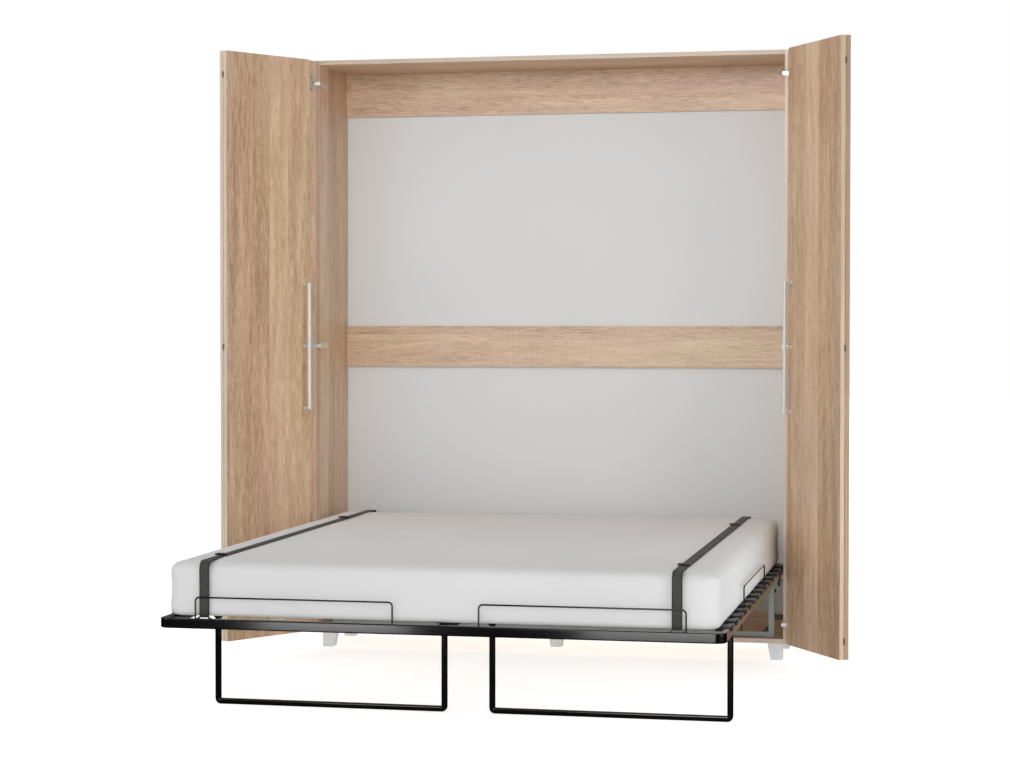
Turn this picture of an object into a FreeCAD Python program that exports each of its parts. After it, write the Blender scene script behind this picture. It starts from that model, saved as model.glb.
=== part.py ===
"""Wall bed: a lowered slatted bed in an upright oak cabinet with two folding doors.

Millimetres, +Z up. The model is laid out with X = 0 in the cabinet's middle plane,
Y = 0 on the cabinet's front edge, +Y into the cabinet and Z = 0 on the floor. At export
it moves along Y, so that the origin lies under the middle of its overall box.
"""
import math
import os
import FreeCAD, Part

from FreeCAD import Vector

# Cabinet
cabinet_height = 2180.0
cabinet_width = 1748.0
cabinet_depth = 403.0
board = 16.0                      # thickness of every carcass board and door leaf
back_board = 4.0
upper_rail_height = 163.0
middle_rail_bottom = 1040.0
middle_rail_height = 156.0
lower_rail_height = 52.0

# Cabinet feet
foot_height = 62.0
foot_top_width = 52.0
foot_sole_width = 40.0
foot_depth = 52.0
foot_side_inset = 21.0
foot_front_inset = 14.0
foot_rear_inset = 31.0
centre_foot_setback = 184.0
foot_rounding = 2.5

# Wall brackets on top of the cabinet
wall_bracket_width = 70.0
wall_bracket_depth = 40.0
wall_bracket_rise = 28.0
wall_bracket_steel = 2.5
wall_bracket_offset = 600.0       # from the middle plane
wall_hole_spacing = 40.0
wall_hole_radius = 3.0
wall_hole_height = 16.0

# Bed frame, tube sizes and where it lies
bed_side_gap = 9.0                # side rail to the cabinet's side panel
bed_head_setback = 220.0          # bed's head end behind the cabinet's front edge
frame_bottom = 298.0
rail_width = 20.0
rail_height = 30.0
rail_wall = 1.5
rail_rounding = 4.0
foot_corner_radius = 30.0         # plan radius of the two bends at the foot end
beam_width = 30.0
cross_tube_height = 20.0          # centre beam and cross tubes, flush below

# Pivot of the bed
pivot_setback = 52.0              # behind the cabinet's front edge
pivot_drop = 20.0                 # below the bed frame
pivot_pin_radius = 6.0
pivot_head_radius = 9.0
pivot_head_length = 4.0
pivot_pin_bite = 8.0              # length of pin inside the side panel
pivot_plate_steel = 6.0
pivot_plate_lug_radius = 16.0
pivot_plate_length = 96.0
running_clearance = 0.05
seat_clearance = 0.1

# Steel stand inside the cabinet
stand_tube = 20.0
stand_wall = 1.5
stand_side_gap = 35.0             # post's outer face to the side panel
stand_head_room = 5.0             # below the bed frame
stand_bend_radius = 12.0
gusset_leg = 25.0
gusset_steel = 3.0
stand_bracket_height = 20.0
stand_bracket_clearance = 1.0     # above the lower hinge's mounting plate
stand_bracket_steel = 3.0
stand_bracket_flange = 34.0
stand_bolt_drop = 48.0            # from the post's top to the bolt's axis
stand_bolt_radius = 4.0
stand_bolt_head_radius = 7.0
stand_bolt_head_length = 5.0

# Lifting struts
strut_post_gap = 113.0            # strut's middle to the stand post
strut_foot_rise = 67.0            # lower pivot above the stand's cross tube
strut_head_setback = 212.0        # upper pivot in front of the bed's pivot
strut_head_drop = 14.0            # upper pivot below the bed frame
strut_radius = 11.0
strut_rod_radius = 5.0
strut_eye_radius = 8.0
strut_eye_thickness = 8.0
strut_pin_radius = 4.0
strut_body_length = 168.0
strut_neck_length = 16.0
strut_rod_insert = 107.0          # length of rod in the body when the bed is down
strut_lug_steel = 5.0
strut_lug_gap = 8.0               # eye to lug plate
strut_stub_gap = 0.3

# Folding legs under the bed
leg_setback = 464.0               # from the bed's foot end
leg_tube = 18.0
leg_rounding = 5.0
leg_bend_radius = 18.0            # outer radius of the two bends
hoop_inner_offset = 67.0          # from the middle plane
hoop_side_inset = 27.0            # from the bed's side
leg_pivot_drop = 15.0
leg_pivot_radius = 4.0
leg_top_length = 10.0             # tube above its pivot
leg_cheek_steel = 3.0
leg_cheek_width = 24.0
leg_cheek_gap = 0.4
leg_cheek_tail = 9.0

# Slats and their holders
slat_count = 14
slat_first = 159.0                # first slat's middle from the bed's foot end
slat_last = 119.2                 # last slat's middle from the bed's head end
slat_width = 53.0
slat_thickness = 8.0
slat_crown = 4.0
slat_rounding = 3.0
holder_length = 60.0
holder_hook_thickness = 4.0       # over the side rail
holder_hook_rounding = 3.0
holder_lip_rounding = 1.0
holder_bed = 3.0                  # below the slat
holder_overlap = 20.0             # holder over the slat's end
holder_end_wall = 5.0
holder_clip_thickness = 1.6
holder_clip_drop = 10.0
holder_fit = 0.3
centre_holder_web = 8.0

# Mattress
mattress_length = 2000.0
mattress_side_inset = 13.0        # from the bed's side
mattress_thickness = 166.7
mattress_seat_gap = 0.3           # above the slats' crowns
mattress_corner = 42.0
mattress_foot_inset = 13.6        # from the bed's foot end
mattress_head_inset = 14.4
mattress_tuck_shares = (          # height share, inset in units of mattress_edge
    (0.0, 0.36), (0.02, 0.1), (0.06, 0.0), (0.16, 0.0), (0.5, 0.14),
    (0.84, 0.0), (0.94, 0.36), (0.978, 1.0))
mattress_crown_shares = ((0.992, 3.6), (1.0, 10.0))
mattress_edge = 28.0

# Wire loops that hold the mattress
wire_radius = 2.5
wire_bend = 12.0
front_wire_inner = 127.0
front_wire_side_inset = 112.0     # from the bed's side
front_wire_height = 66.0
front_wire_setback = 8.5          # from the bed's foot end
side_wire_height = 72.0
side_wire_start_count = 3         # slats in front of the one its first foot stands behind
side_wire_span_count = 5          # slats from there to its second foot
side_wire_gap = 12.0              # between a foot and that holder

# Straps over the mattress
strap_side_inset = 128.0          # strap's middle from the mattress's side
strap_width = 30.0
strap_thickness = 2.0
strap_gap = 0.3
strap_corner = 24.0
loop_length = 46.0
loop_width = 13.0
loop_steel = 2.0
loop_rise = 4.0
loop_bridge_length = 34.0
buckle_width = 40.0
buckle_length = 36.0
buckle_height = 5.0
buckle_lever_share = 0.45
buckle_front = 188.0              # first buckle's middle from the bed's foot end
buckle_rear = 422.0               # second buckle's middle from the bed's head end

# Doors
door_top_gap = 2.0
door_bottom_gap = 6.0             # above the carcass's underside
door_gap = 2.0                    # in front of the carcass, and between leaf and leaf
door_meeting_gap = 2.0            # between the two shut inner leaves
leaf_cup_gap = 13.5               # folded inner leaf's free edge to the hinge cup's flange
door_side_inset = 1.0             # closed door's edge from the cabinet's side
door_axis_beyond = 2.5            # swing axis outside the closed door's edge
door_open_angle = 120.0
cup_radius = 17.5
cup_depth = 11.0
cup_edge_distance = 22.5
cup_flange_length = 54.0
cup_flange_width = 20.0
hinge_steel = 2.0
hinge_knuckle_radius = 4.5
hinge_pin_radius = 2.0
hinge_knuckle_gap = 0.4
hinge_arm_width = 13.0
hinge_arm_thickness = 4.0         # beside the side panel, over the mounting plate
hinge_arm_depth = 8.0             # in front of the carcass
hinge_arm_setback = 14.0          # arm's front from the carcass front
hinge_plate_length = 78.0
hinge_plate_width = 20.0
hinge_plate_front = 22.0
hinge_top_inset = 84.0            # from the door's top to the upper hinge
hinge_bottom_inset = 63.0
fold_knuckle_radius = 3.0
fold_plate_width = 26.0
fold_plate_height = 64.0
fold_plate_steel = 0.8
fold_knuckle_height = 22.0

# Handles
handle_length = 464.0
handle_radius = 7.0
handle_standoff = 27.0            # leaf's face to the bar's axis
handle_edge_distance = 29.0
handle_bottom = 891.0
handle_post_radius = 3.5
handle_post_inset = 4.0
handle_post_flange = 6.0
handle_flange_thickness = 3.0
handle_count = 3

# Overrun of cutting solids
overrun = 1.0

half_width = cabinet_width / 2
inner_half = half_width - board
inner_top = cabinet_height - board
floor_top = foot_height + board
rail_front = cabinet_depth - back_board - board
frame_top = frame_bottom + rail_height
beam_top = frame_bottom + cross_tube_height
bed_half = inner_half - bed_side_gap
bed_length = mattress_length + mattress_foot_inset + mattress_head_inset
bed_head = bed_head_setback
bed_front = bed_head - bed_length
side_rail_inner = bed_half - rail_width
leg_plane = bed_front + leg_setback
mattress_width = 2 * (bed_half - mattress_side_inset)
mattress_front = bed_front + mattress_foot_inset
mattress_rear = mattress_front + mattress_length
stand_half_width = inner_half - stand_side_gap
stand_inner = stand_half_width - stand_tube
stand_front = pivot_setback - stand_tube / 2
stand_top = frame_bottom - stand_head_room
pivot_height = frame_bottom - pivot_drop
strut_offset = stand_inner - strut_post_gap
hoop_width = bed_half - hoop_side_inset - hoop_inner_offset
holder_top = frame_top + holder_hook_thickness
slat_bottom = beam_top + holder_bed
mattress_bottom = slat_bottom + slat_thickness + slat_crown + mattress_seat_gap
mattress_top = mattress_bottom + mattress_thickness
slat_pitch = (bed_length - slat_first - slat_last) / (slat_count - 1)
strap_offset = mattress_width / 2 - strap_side_inset
door_height = cabinet_height - foot_height - door_top_gap - door_bottom_gap
leaf_step = cup_edge_distance + cup_flange_width / 2 + leaf_cup_gap
leaf_pair_width = half_width - door_side_inset - door_gap - door_meeting_gap / 2
outer_leaf_width = (leaf_pair_width + leaf_step) / 2
inner_leaf_width = outer_leaf_width - leaf_step
origin_shift = (bed_front + cabinet_depth) / 2

parts = {}


def box(x0, x1, y0, y1, z0, z1):
    """A block between two corners."""
    return Part.makeBox(x1 - x0, y1 - y0, z1 - z0, Vector(x0, y0, z0))


def rod(start, end, radius):
    """A cylinder from one point to another."""
    along = end - start
    return Part.makeCylinder(radius, along.Length, start, along)


def mirrored(shape):
    """The same piece on the other side of the middle plane."""
    return shape.mirror(Vector(0, 0, 0), Vector(1, 0, 0))


def pair(shape):
    """A right-hand piece and its left-hand twin as one group."""
    return Part.makeCompound([shape, mirrored(shape)])


def rounded_outline(width, height, radius, place):
    """A closed rounded rectangle; place maps its two coordinates to a point."""
    w = width / 2
    h = height / 2
    slack = radius * (1 - math.sqrt(0.5))
    corners = ((1, 1), (-1, 1), (-1, -1), (1, -1))
    edges = []
    for index, (sx, sy) in enumerate(corners):
        on_side = place(sx * w, sy * (h - radius))
        on_end = place(sx * (w - radius), sy * h)
        middle = place(sx * (w - slack), sy * (h - slack))
        first, last = (on_side, on_end) if sx == sy else (on_end, on_side)
        edges.append(Part.Arc(first, middle, last).toShape())
        nx, ny = corners[(index + 1) % len(corners)]
        if nx == ny:
            following = place(nx * w, ny * (h - radius))
        else:
            following = place(nx * (w - radius), ny * h)
        edges.append(Part.makeLine(last, following))
    return Part.Wire(edges)


def tube_along_x(x0, x1, y_middle, z_middle, width, height, wall, radius):
    """A hollow rounded tube that runs along X."""
    def place(a, b):
        return Vector(x0, y_middle + a, z_middle + b)
    outer = Part.Face(rounded_outline(width, height, radius, place))
    inner = Part.Face(rounded_outline(width - 2 * wall, height - 2 * wall, radius - wall, place))
    return outer.cut(inner).extrude(Vector(x1 - x0, 0, 0))


def tube_along_y(y0, y1, x_middle, z_middle, width, height, wall, radius):
    """A hollow rounded tube that runs along Y."""
    def place(a, b):
        return Vector(x_middle + a, y0, z_middle + b)
    outer = Part.Face(rounded_outline(width, height, radius, place))
    inner = Part.Face(rounded_outline(width - 2 * wall, height - 2 * wall, radius - wall, place))
    return outer.cut(inner).extrude(Vector(0, y1 - y0, 0))


# The cabinet's boards

def hinge_heights():
    """Heights of the three hinges on each side."""
    top = inner_top + board - door_top_gap
    bottom = top - door_height
    return (bottom + hinge_bottom_inset, (top + bottom) / 2, top - hinge_top_inset)


def side_panel():
    panel = box(inner_half, half_width, 0, cabinet_depth, foot_height, cabinet_height)
    hole = rod(Vector(inner_half - overrun, pivot_setback, pivot_height),
               Vector(inner_half + pivot_pin_bite + seat_clearance, pivot_setback, pivot_height),
               pivot_pin_radius + seat_clearance)
    return panel.cut(hole)


def make_boards():
    panel = side_panel()
    parts["side_panel_right"] = panel
    parts["side_panel_left"] = mirrored(panel)
    parts["top_panel"] = box(-inner_half, inner_half, 0, cabinet_depth, inner_top, cabinet_height)
    parts["bottom_panel"] = box(-inner_half, inner_half, 0, cabinet_depth, foot_height, floor_top)
    rail_rear = rail_front + board
    parts["back_rail_upper"] = box(-inner_half, inner_half, rail_front, rail_rear,
                                   inner_top - upper_rail_height, inner_top)
    parts["back_rail_middle"] = box(-inner_half, inner_half, rail_front, rail_rear,
                                    middle_rail_bottom, middle_rail_bottom + middle_rail_height)
    parts["back_rail_lower"] = box(-inner_half, inner_half, rail_front, rail_rear,
                                   floor_top, floor_top + lower_rail_height)
    joint = middle_rail_bottom + middle_rail_height / 2
    parts["back_panel_upper"] = box(-inner_half, inner_half, rail_rear, cabinet_depth,
                                    joint, inner_top)
    parts["back_panel_lower"] = box(-inner_half, inner_half, rail_rear, cabinet_depth,
                                    floor_top, joint)


def foot(x_outer, y_front, slant_inner, slant_outer):
    """A plastic foot whose chosen sides slant in towards the sole."""
    slant = foot_top_width - foot_sole_width
    x_inner = x_outer - foot_top_width
    points = [Vector(x_inner, y_front, foot_height), Vector(x_outer, y_front, foot_height),
              Vector(x_outer - slant * slant_outer, y_front, 0),
              Vector(x_inner + slant * slant_inner, y_front, 0)]
    body = Part.Face(Part.makePolygon(points + points[:1])).extrude(Vector(0, foot_depth, 0))
    upright = [edge for edge in body.Edges if edge.BoundBox.ZLength > foot_height / 2]
    return body.makeFillet(foot_rounding, upright)


def make_feet():
    outer = half_width - foot_side_inset
    front = foot(outer, foot_front_inset, 1, 0)
    rear = foot(outer, cabinet_depth - foot_rear_inset - foot_depth, 1, 0)
    centre = foot(foot_top_width / 2, centre_foot_setback, 0.5, 0.5)
    parts["feet"] = Part.makeCompound([front, mirrored(front), rear, mirrored(rear), centre])


def make_wall_brackets():
    x0 = wall_bracket_offset - wall_bracket_width / 2
    x1 = wall_bracket_offset + wall_bracket_width / 2
    back = cabinet_depth
    base = box(x0, x1, back - wall_bracket_depth, back,
               cabinet_height, cabinet_height + wall_bracket_steel)
    upright = box(x0, x1, back - wall_bracket_steel, back,
                  cabinet_height, cabinet_height + wall_bracket_rise)
    bracket = base.fuse(upright).removeSplitter()
    for side in (-1, 1):
        x = wall_bracket_offset + side * wall_hole_spacing / 2
        z = cabinet_height + wall_hole_height
        bracket = bracket.cut(rod(Vector(x, back - wall_bracket_steel - overrun, z),
                                  Vector(x, back + overrun, z), wall_hole_radius))
        y = back - wall_bracket_depth / 2
        bracket = bracket.cut(rod(Vector(x, y, cabinet_height - overrun),
                                  Vector(x, y, cabinet_height + wall_bracket_steel + overrun),
                                  wall_hole_radius))
    parts["wall_brackets"] = pair(bracket)


# The steel stand and the bed's pivots

def stand_post():
    y1 = stand_front + stand_tube
    outer = box(stand_inner, stand_half_width, stand_front, y1, floor_top, stand_top)
    corner = [edge for edge in outer.Edges
              if edge.BoundBox.YLength > stand_wall
              and edge.BoundBox.ZMax < floor_top + stand_wall
              and edge.BoundBox.XMin > stand_half_width - stand_wall]
    outer = outer.makeFillet(stand_bend_radius, corner)
    inner = box(stand_inner + stand_wall, stand_half_width - stand_wall,
                stand_front + stand_wall, y1 - stand_wall,
                floor_top + stand_bend_radius, stand_top + overrun)
    post = outer.cut(inner)
    post = post.cut(rod(Vector(stand_inner - overrun, pivot_setback, pivot_height),
                        Vector(stand_half_width + overrun, pivot_setback, pivot_height),
                        pivot_pin_radius + seat_clearance))
    bolt_height = stand_top - stand_bolt_drop
    return post.cut(rod(Vector(stand_inner - overrun, pivot_setback, bolt_height),
                        Vector(stand_half_width + overrun, pivot_setback, bolt_height),
                        stand_bolt_radius + seat_clearance))


def stand_gusset():
    y0 = pivot_setback - gusset_steel / 2
    z0 = floor_top + stand_tube
    points = [Vector(stand_inner, y0, z0), Vector(stand_inner - gusset_leg, y0, z0),
              Vector(stand_inner, y0, z0 + gusset_leg)]
    return Part.Face(Part.makePolygon(points + points[:1])).extrude(Vector(0, gusset_steel, 0))


def stand_bracket():
    """A bent plate from the post's outer face to the side panel."""
    z0 = hinge_heights()[0] + hinge_plate_width / 2 + stand_bracket_clearance
    z1 = z0 + stand_bracket_height
    y0 = stand_front
    steel = stand_bracket_steel
    web = box(stand_half_width, inner_half, y0, y0 + steel, z0, z1)
    on_post = box(stand_half_width, stand_half_width + steel, y0, y0 + stand_tube, z0, z1)
    on_panel = box(inner_half - steel, inner_half, y0, y0 + stand_bracket_flange, z0, z1)
    return web.fuse([on_post, on_panel]).removeSplitter()


def hexagon(x, y, z, radius, length):
    """A hexagonal bolt head that starts at x and runs along +X."""
    points = []
    for step in range(6):
        turn = math.radians(60 * step)
        points.append(Vector(x, y + radius * math.cos(turn), z + radius * math.sin(turn)))
    return Part.Face(Part.makePolygon(points + points[:1])).extrude(Vector(length, 0, 0))


def stand_bolt():
    z = stand_top - stand_bolt_drop
    x0 = stand_inner - stand_bolt_head_length
    shank = rod(Vector(x0, pivot_setback, z), Vector(stand_half_width, pivot_setback, z),
                stand_bolt_radius)
    head = hexagon(stand_half_width, pivot_setback, z, stand_bolt_head_radius,
                   stand_bolt_head_length)
    nut = hexagon(x0, pivot_setback, z, stand_bolt_head_radius, stand_bolt_head_length)
    return shank.fuse([head, nut])


def pivot_pin():
    x0 = stand_inner
    head = rod(Vector(x0 - pivot_head_length, pivot_setback, pivot_height),
               Vector(x0, pivot_setback, pivot_height), pivot_head_radius)
    shank = rod(Vector(x0, pivot_setback, pivot_height),
                Vector(inner_half + pivot_pin_bite, pivot_setback, pivot_height),
                pivot_pin_radius)
    return head.fuse(shank)


def pivot_plate():
    """The lug under the side rail that turns on the pivot pin."""
    x0 = side_rail_inner + rail_width / 2 - pivot_plate_steel / 2
    z = pivot_height
    lug = Part.makeCylinder(pivot_plate_lug_radius, pivot_plate_steel,
                            Vector(x0, pivot_setback, z), Vector(1, 0, 0))
    y0 = pivot_setback - pivot_plate_lug_radius
    y1 = y0 + pivot_plate_length
    points = [Vector(x0, y0, z), Vector(x0, y0, frame_bottom), Vector(x0, y1, frame_bottom),
              Vector(x0, pivot_setback + pivot_plate_lug_radius, z)]
    web = Part.Face(Part.makePolygon(points + points[:1])).extrude(Vector(pivot_plate_steel, 0, 0))
    bore = rod(Vector(x0 - overrun, pivot_setback, z),
               Vector(x0 + pivot_plate_steel + overrun, pivot_setback, z),
               pivot_pin_radius + running_clearance)
    return lug.fuse(web).removeSplitter().cut(bore)


def make_stand():
    post = stand_post()
    parts["stand_post_right"] = post
    parts["stand_post_left"] = mirrored(post)
    parts["stand_cross_tube"] = tube_along_x(
        -stand_inner, stand_inner, pivot_setback, floor_top + stand_tube / 2,
        stand_tube, stand_tube, stand_wall, rail_rounding)
    parts["stand_gussets"] = pair(stand_gusset())
    parts["stand_brackets"] = pair(stand_bracket())
    parts["stand_bolts"] = pair(stand_bolt())
    parts["pivot_pins"] = pair(pivot_pin())
    parts["pivot_plates"] = pair(pivot_plate())


# The bed's steel frame

def front_rail():
    """The foot-end tube with its two bends, as one swept profile."""
    z = frame_bottom + rail_height / 2
    y = bed_front + rail_width / 2
    x = bed_half - rail_width / 2
    bend = foot_corner_radius - rail_width / 2
    end = bed_front + foot_corner_radius
    slack = bend * (1 - math.sqrt(0.5))

    def ring(width, height, radius):
        def place(a, b):
            return Vector(-x + a, end, z + b)
        return rounded_outline(width, height, radius, place)

    left = Part.Arc(Vector(-x, end, z), Vector(-x + slack, y + slack, z),
                    Vector(-x + bend, y, z)).toShape()
    middle = Part.makeLine(Vector(-x + bend, y, z), Vector(x - bend, y, z))
    right = Part.Arc(Vector(x - bend, y, z), Vector(x - slack, y + slack, z),
                     Vector(x, end, z)).toShape()
    path = Part.Wire([left, middle, right])
    outer = path.makePipeShell([ring(rail_width, rail_height, rail_rounding)], True, False)
    inner = path.makePipeShell([ring(rail_width - 2 * rail_wall, rail_height - 2 * rail_wall,
                                     rail_rounding - rail_wall)], True, False)
    return outer.cut(inner)


def make_frame():
    z = frame_bottom + rail_height / 2
    parts["front_rail"] = front_rail()
    side = tube_along_y(bed_front + foot_corner_radius, bed_head, bed_half - rail_width / 2, z,
                        rail_width, rail_height, rail_wall, rail_rounding)
    parts["side_rail_right"] = side
    parts["side_rail_left"] = mirrored(side)
    parts["head_rail"] = tube_along_x(-side_rail_inner, side_rail_inner,
                                      bed_head - rail_width / 2, z,
                                      rail_width, rail_height, rail_wall, rail_rounding)
    beam_z = frame_bottom + cross_tube_height / 2
    leg_tube_part = tube_along_x(-side_rail_inner, side_rail_inner, leg_plane, beam_z,
                                 rail_width, cross_tube_height, rail_wall, rail_rounding)
    strut_y = pivot_setback - strut_head_setback
    strut_tube_part = tube_along_x(-side_rail_inner, side_rail_inner, strut_y, beam_z,
                                   rail_width, cross_tube_height, rail_wall, rail_rounding)
    beam = tube_along_y(bed_front + rail_width, bed_head - rail_width, 0, beam_z,
                        beam_width, cross_tube_height, rail_wall, rail_rounding)
    for y in (leg_plane, strut_y):
        beam = beam.cut(box(-beam_width, beam_width, y - rail_width / 2, y + rail_width / 2,
                            frame_bottom - overrun, beam_top + overrun))
    parts["centre_beam"] = beam
    parts["leg_cross_tube"] = leg_tube_part
    parts["strut_cross_tube"] = strut_tube_part


# Slats

def slat_places():
    return [bed_front + slat_first + slat_pitch * index for index in range(slat_count)]


def slat_ends():
    """Where a right-hand slat starts and ends along X."""
    return centre_holder_web / 2 + holder_fit, side_rail_inner - holder_end_wall - holder_fit


def slat(y):
    """A slat bent up in the middle, one arc below and one above."""
    x0, x1 = slat_ends()
    middle = (x0 + x1) / 2
    y0 = y - slat_width / 2

    def curve(z):
        return Vector(x0, y0, z), Vector(middle, y0, z + slat_crown), Vector(x1, y0, z)

    low = curve(slat_bottom)
    high = curve(slat_bottom + slat_thickness)
    outline = Part.Wire([Part.Arc(*low).toShape(), Part.makeLine(low[-1], high[-1]),
                         Part.Arc(*high).toShape(), Part.makeLine(high[0], low[0])])
    body = Part.Face(outline).extrude(Vector(0, slat_width, 0))
    ends = [edge for edge in body.Edges
            if edge.BoundBox.ZLength > slat_thickness / 2 and edge.BoundBox.XLength < slat_rounding]
    return body.makeFillet(slat_rounding, ends)


def pocket_roof():
    """Top of a holder's pocket, clear of the slat where its arc leaves the pocket."""
    x0, x1 = slat_ends()
    reach_share = holder_overlap / (x1 - x0)
    rise = 4 * slat_crown * reach_share * (1 - reach_share)
    return slat_bottom + slat_thickness + rise + holder_fit


def pocket(x0, x1, y):
    """The hollow that takes one slat's end."""
    return box(x0, x1, y - slat_width / 2 - holder_fit, y + slat_width / 2 + holder_fit,
               slat_bottom - holder_fit, pocket_roof())


def side_holder(y):
    """A pocket inside the side rail, hung from the rail by a hook that clips over it."""
    x1 = side_rail_inner
    x0 = x1 - holder_end_wall - holder_overlap
    y0 = y - holder_length / 2
    y1 = y + holder_length / 2
    body = box(x0, x1, y0, y1, beam_top, holder_top)
    lip = [e for e in body.Edges
           if e.BoundBox.YLength > holder_end_wall and e.BoundBox.ZMin > frame_top
           and e.BoundBox.XMax < x1]
    body = body.makeFillet(holder_lip_rounding, lip)
    body = body.cut(pocket(x0 - overrun, x1 - holder_end_wall, y))
    hook = box(x1, bed_half + holder_clip_thickness, y0, y1,
               frame_top - holder_clip_drop, holder_top)
    back = [e for e in hook.Edges
            if e.BoundBox.YLength > holder_end_wall and e.BoundBox.ZMin > frame_top
            and e.BoundBox.XMin > bed_half]
    hook = hook.makeFillet(holder_hook_rounding, back)
    hook = hook.cut(box(x1 - overrun, bed_half, y0 - overrun, y1 + overrun,
                        frame_top - holder_clip_drop - overrun, frame_top))
    return body.fuse(hook).removeSplitter()


def centre_holder(y):
    """A double holder on the centre beam."""
    x1 = centre_holder_web / 2 + holder_overlap
    body = box(-x1, x1, y - holder_length / 2, y + holder_length / 2, beam_top, holder_top)
    right = pocket(centre_holder_web / 2, x1 + overrun, y)
    return body.cut(right).cut(mirrored(right))


def make_slats():
    right = [slat(y) for y in slat_places()]
    parts["slats_right"] = Part.makeCompound(right)
    parts["slats_left"] = Part.makeCompound([mirrored(piece) for piece in right])
    holders = [side_holder(y) for y in slat_places()]
    parts["slat_holders_side"] = Part.makeCompound(holders + [mirrored(h) for h in holders])
    parts["slat_holders_centre"] = Part.makeCompound([centre_holder(y) for y in slat_places()])


# Mattress, its wire loops and straps

def mattress():
    """Sections from the sole up: tucked edge, drawn-in side, edge, crowned top."""
    y_middle = (mattress_front + mattress_rear) / 2
    rings = []
    for height_share, inset_share in mattress_tuck_shares + mattress_crown_shares:
        inset = inset_share * mattress_edge
        z = mattress_bottom + height_share * mattress_thickness

        def place(a, b, level=z):
            return Vector(a, y_middle + b, level)
        rings.append(rounded_outline(mattress_width - 2 * inset, mattress_length - 2 * inset,
                                     mattress_corner, place))
    return Part.makeLoft(rings, True, True)


def wire_loop(first, last, height):
    """A bent wire that rises from the rail at two points."""
    along = (last - first).normalize()
    lift = Vector(0, 0, 1)
    bend = wire_bend
    slack = bend * (1 - math.sqrt(0.5))
    top_a = first + lift * (height - wire_radius)
    top_b = last + lift * (height - wire_radius)
    edges = [
        Part.makeLine(first, top_a - lift * bend),
        Part.Arc(top_a - lift * bend, top_a + along * slack - lift * slack,
                 top_a + along * bend).toShape(),
        Part.makeLine(top_a + along * bend, top_b - along * bend),
        Part.Arc(top_b - along * bend, top_b - along * slack - lift * slack,
                 top_b - lift * bend).toShape(),
        Part.makeLine(top_b - lift * bend, last)]
    path = Part.Wire(edges)
    ring = Part.Wire(Part.makeCircle(wire_radius, first, lift))
    return path.makePipeShell([ring], True, False)


def make_retainers():
    y = bed_front + front_wire_setback
    outer = bed_half - front_wire_side_inset
    front = wire_loop(Vector(front_wire_inner + wire_radius, y, frame_top),
                      Vector(outer - wire_radius, y, frame_top), front_wire_height)
    parts["retainers_front"] = pair(front)
    x = bed_half - rail_width / 2
    behind = holder_length / 2 + side_wire_gap + wire_radius
    first = slat_places()[side_wire_start_count] + behind
    last = slat_places()[side_wire_start_count + side_wire_span_count] + behind
    side = wire_loop(Vector(x, first, frame_top), Vector(x, last, frame_top), side_wire_height)
    parts["retainers_side"] = pair(side)


def strap_profile(inner_y0, inner_y1, inner_top_z, grow, radius, floor_z):
    """A downward-open band outline in the YZ plane, grown outwards by grow."""
    y0 = inner_y0 - grow
    y1 = inner_y1 + grow
    top = inner_top_z + grow
    slack = radius * (1 - math.sqrt(0.5))

    def p(y, z):
        return Vector(0, y, z)
    edges = [
        Part.makeLine(p(y0, floor_z), p(y0, top - radius)),
        Part.Arc(p(y0, top - radius), p(y0 + slack, top - slack), p(y0 + radius, top)).toShape(),
        Part.makeLine(p(y0 + radius, top), p(y1 - radius, top)),
        Part.Arc(p(y1 - radius, top), p(y1 - slack, top - slack), p(y1, top - radius)).toShape(),
        Part.makeLine(p(y1, top - radius), p(y1, floor_z)),
        Part.makeLine(p(y1, floor_z), p(y0, floor_z))]
    return Part.Face(Part.Wire(edges))


def strap():
    low = frame_top + loop_rise + loop_steel
    y0 = mattress_front - strap_gap
    y1 = mattress_rear + strap_gap
    top = mattress_top + strap_gap
    outer = strap_profile(y0, y1, top, strap_thickness, strap_corner + strap_thickness, low)
    inner = strap_profile(y0, y1, top, 0, strap_corner, low)
    band = outer.cut(inner).extrude(Vector(strap_width, 0, 0))
    band.translate(Vector(strap_offset - strap_width / 2, 0, 0))
    return band


def strap_loop(y):
    """A bent steel strip screwed on the rail; the strap goes round its bridge."""
    x0 = strap_offset - loop_length / 2
    x1 = strap_offset + loop_length / 2
    b0 = strap_offset - loop_bridge_length / 2
    b1 = strap_offset + loop_bridge_length / 2
    y0 = y - loop_width / 2
    y1 = y + loop_width / 2
    bridge_top = frame_top + loop_rise + loop_steel
    body = box(b0, b1, y0, y1, frame_top, bridge_top)
    body = body.cut(box(b0 + loop_steel, b1 - loop_steel, y0 - overrun, y1 + overrun,
                        frame_top - overrun, frame_top + loop_rise))
    ears = [box(x0, b0 + loop_steel, y0, y1, frame_top, frame_top + loop_steel),
            box(b1 - loop_steel, x1, y0, y1, frame_top, frame_top + loop_steel)]
    return body.fuse(ears).removeSplitter()


def buckle(y):
    """A cam buckle on the strap: a base with a raised, bevelled lever."""
    z = mattress_top + strap_gap + strap_thickness
    x0 = strap_offset - buckle_width / 2
    y0 = y - buckle_length / 2
    lever = buckle_length * buckle_lever_share
    low = buckle_height / 2
    points = [Vector(x0, y0, z), Vector(x0, y0, z + low),
              Vector(x0, y0 + lever, z + buckle_height),
              Vector(x0, y0 + buckle_length - low, z + buckle_height),
              Vector(x0, y0 + buckle_length, z + low), Vector(x0, y0 + buckle_length, z)]
    return Part.Face(Part.makePolygon(points + points[:1])).extrude(Vector(buckle_width, 0, 0))


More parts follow.
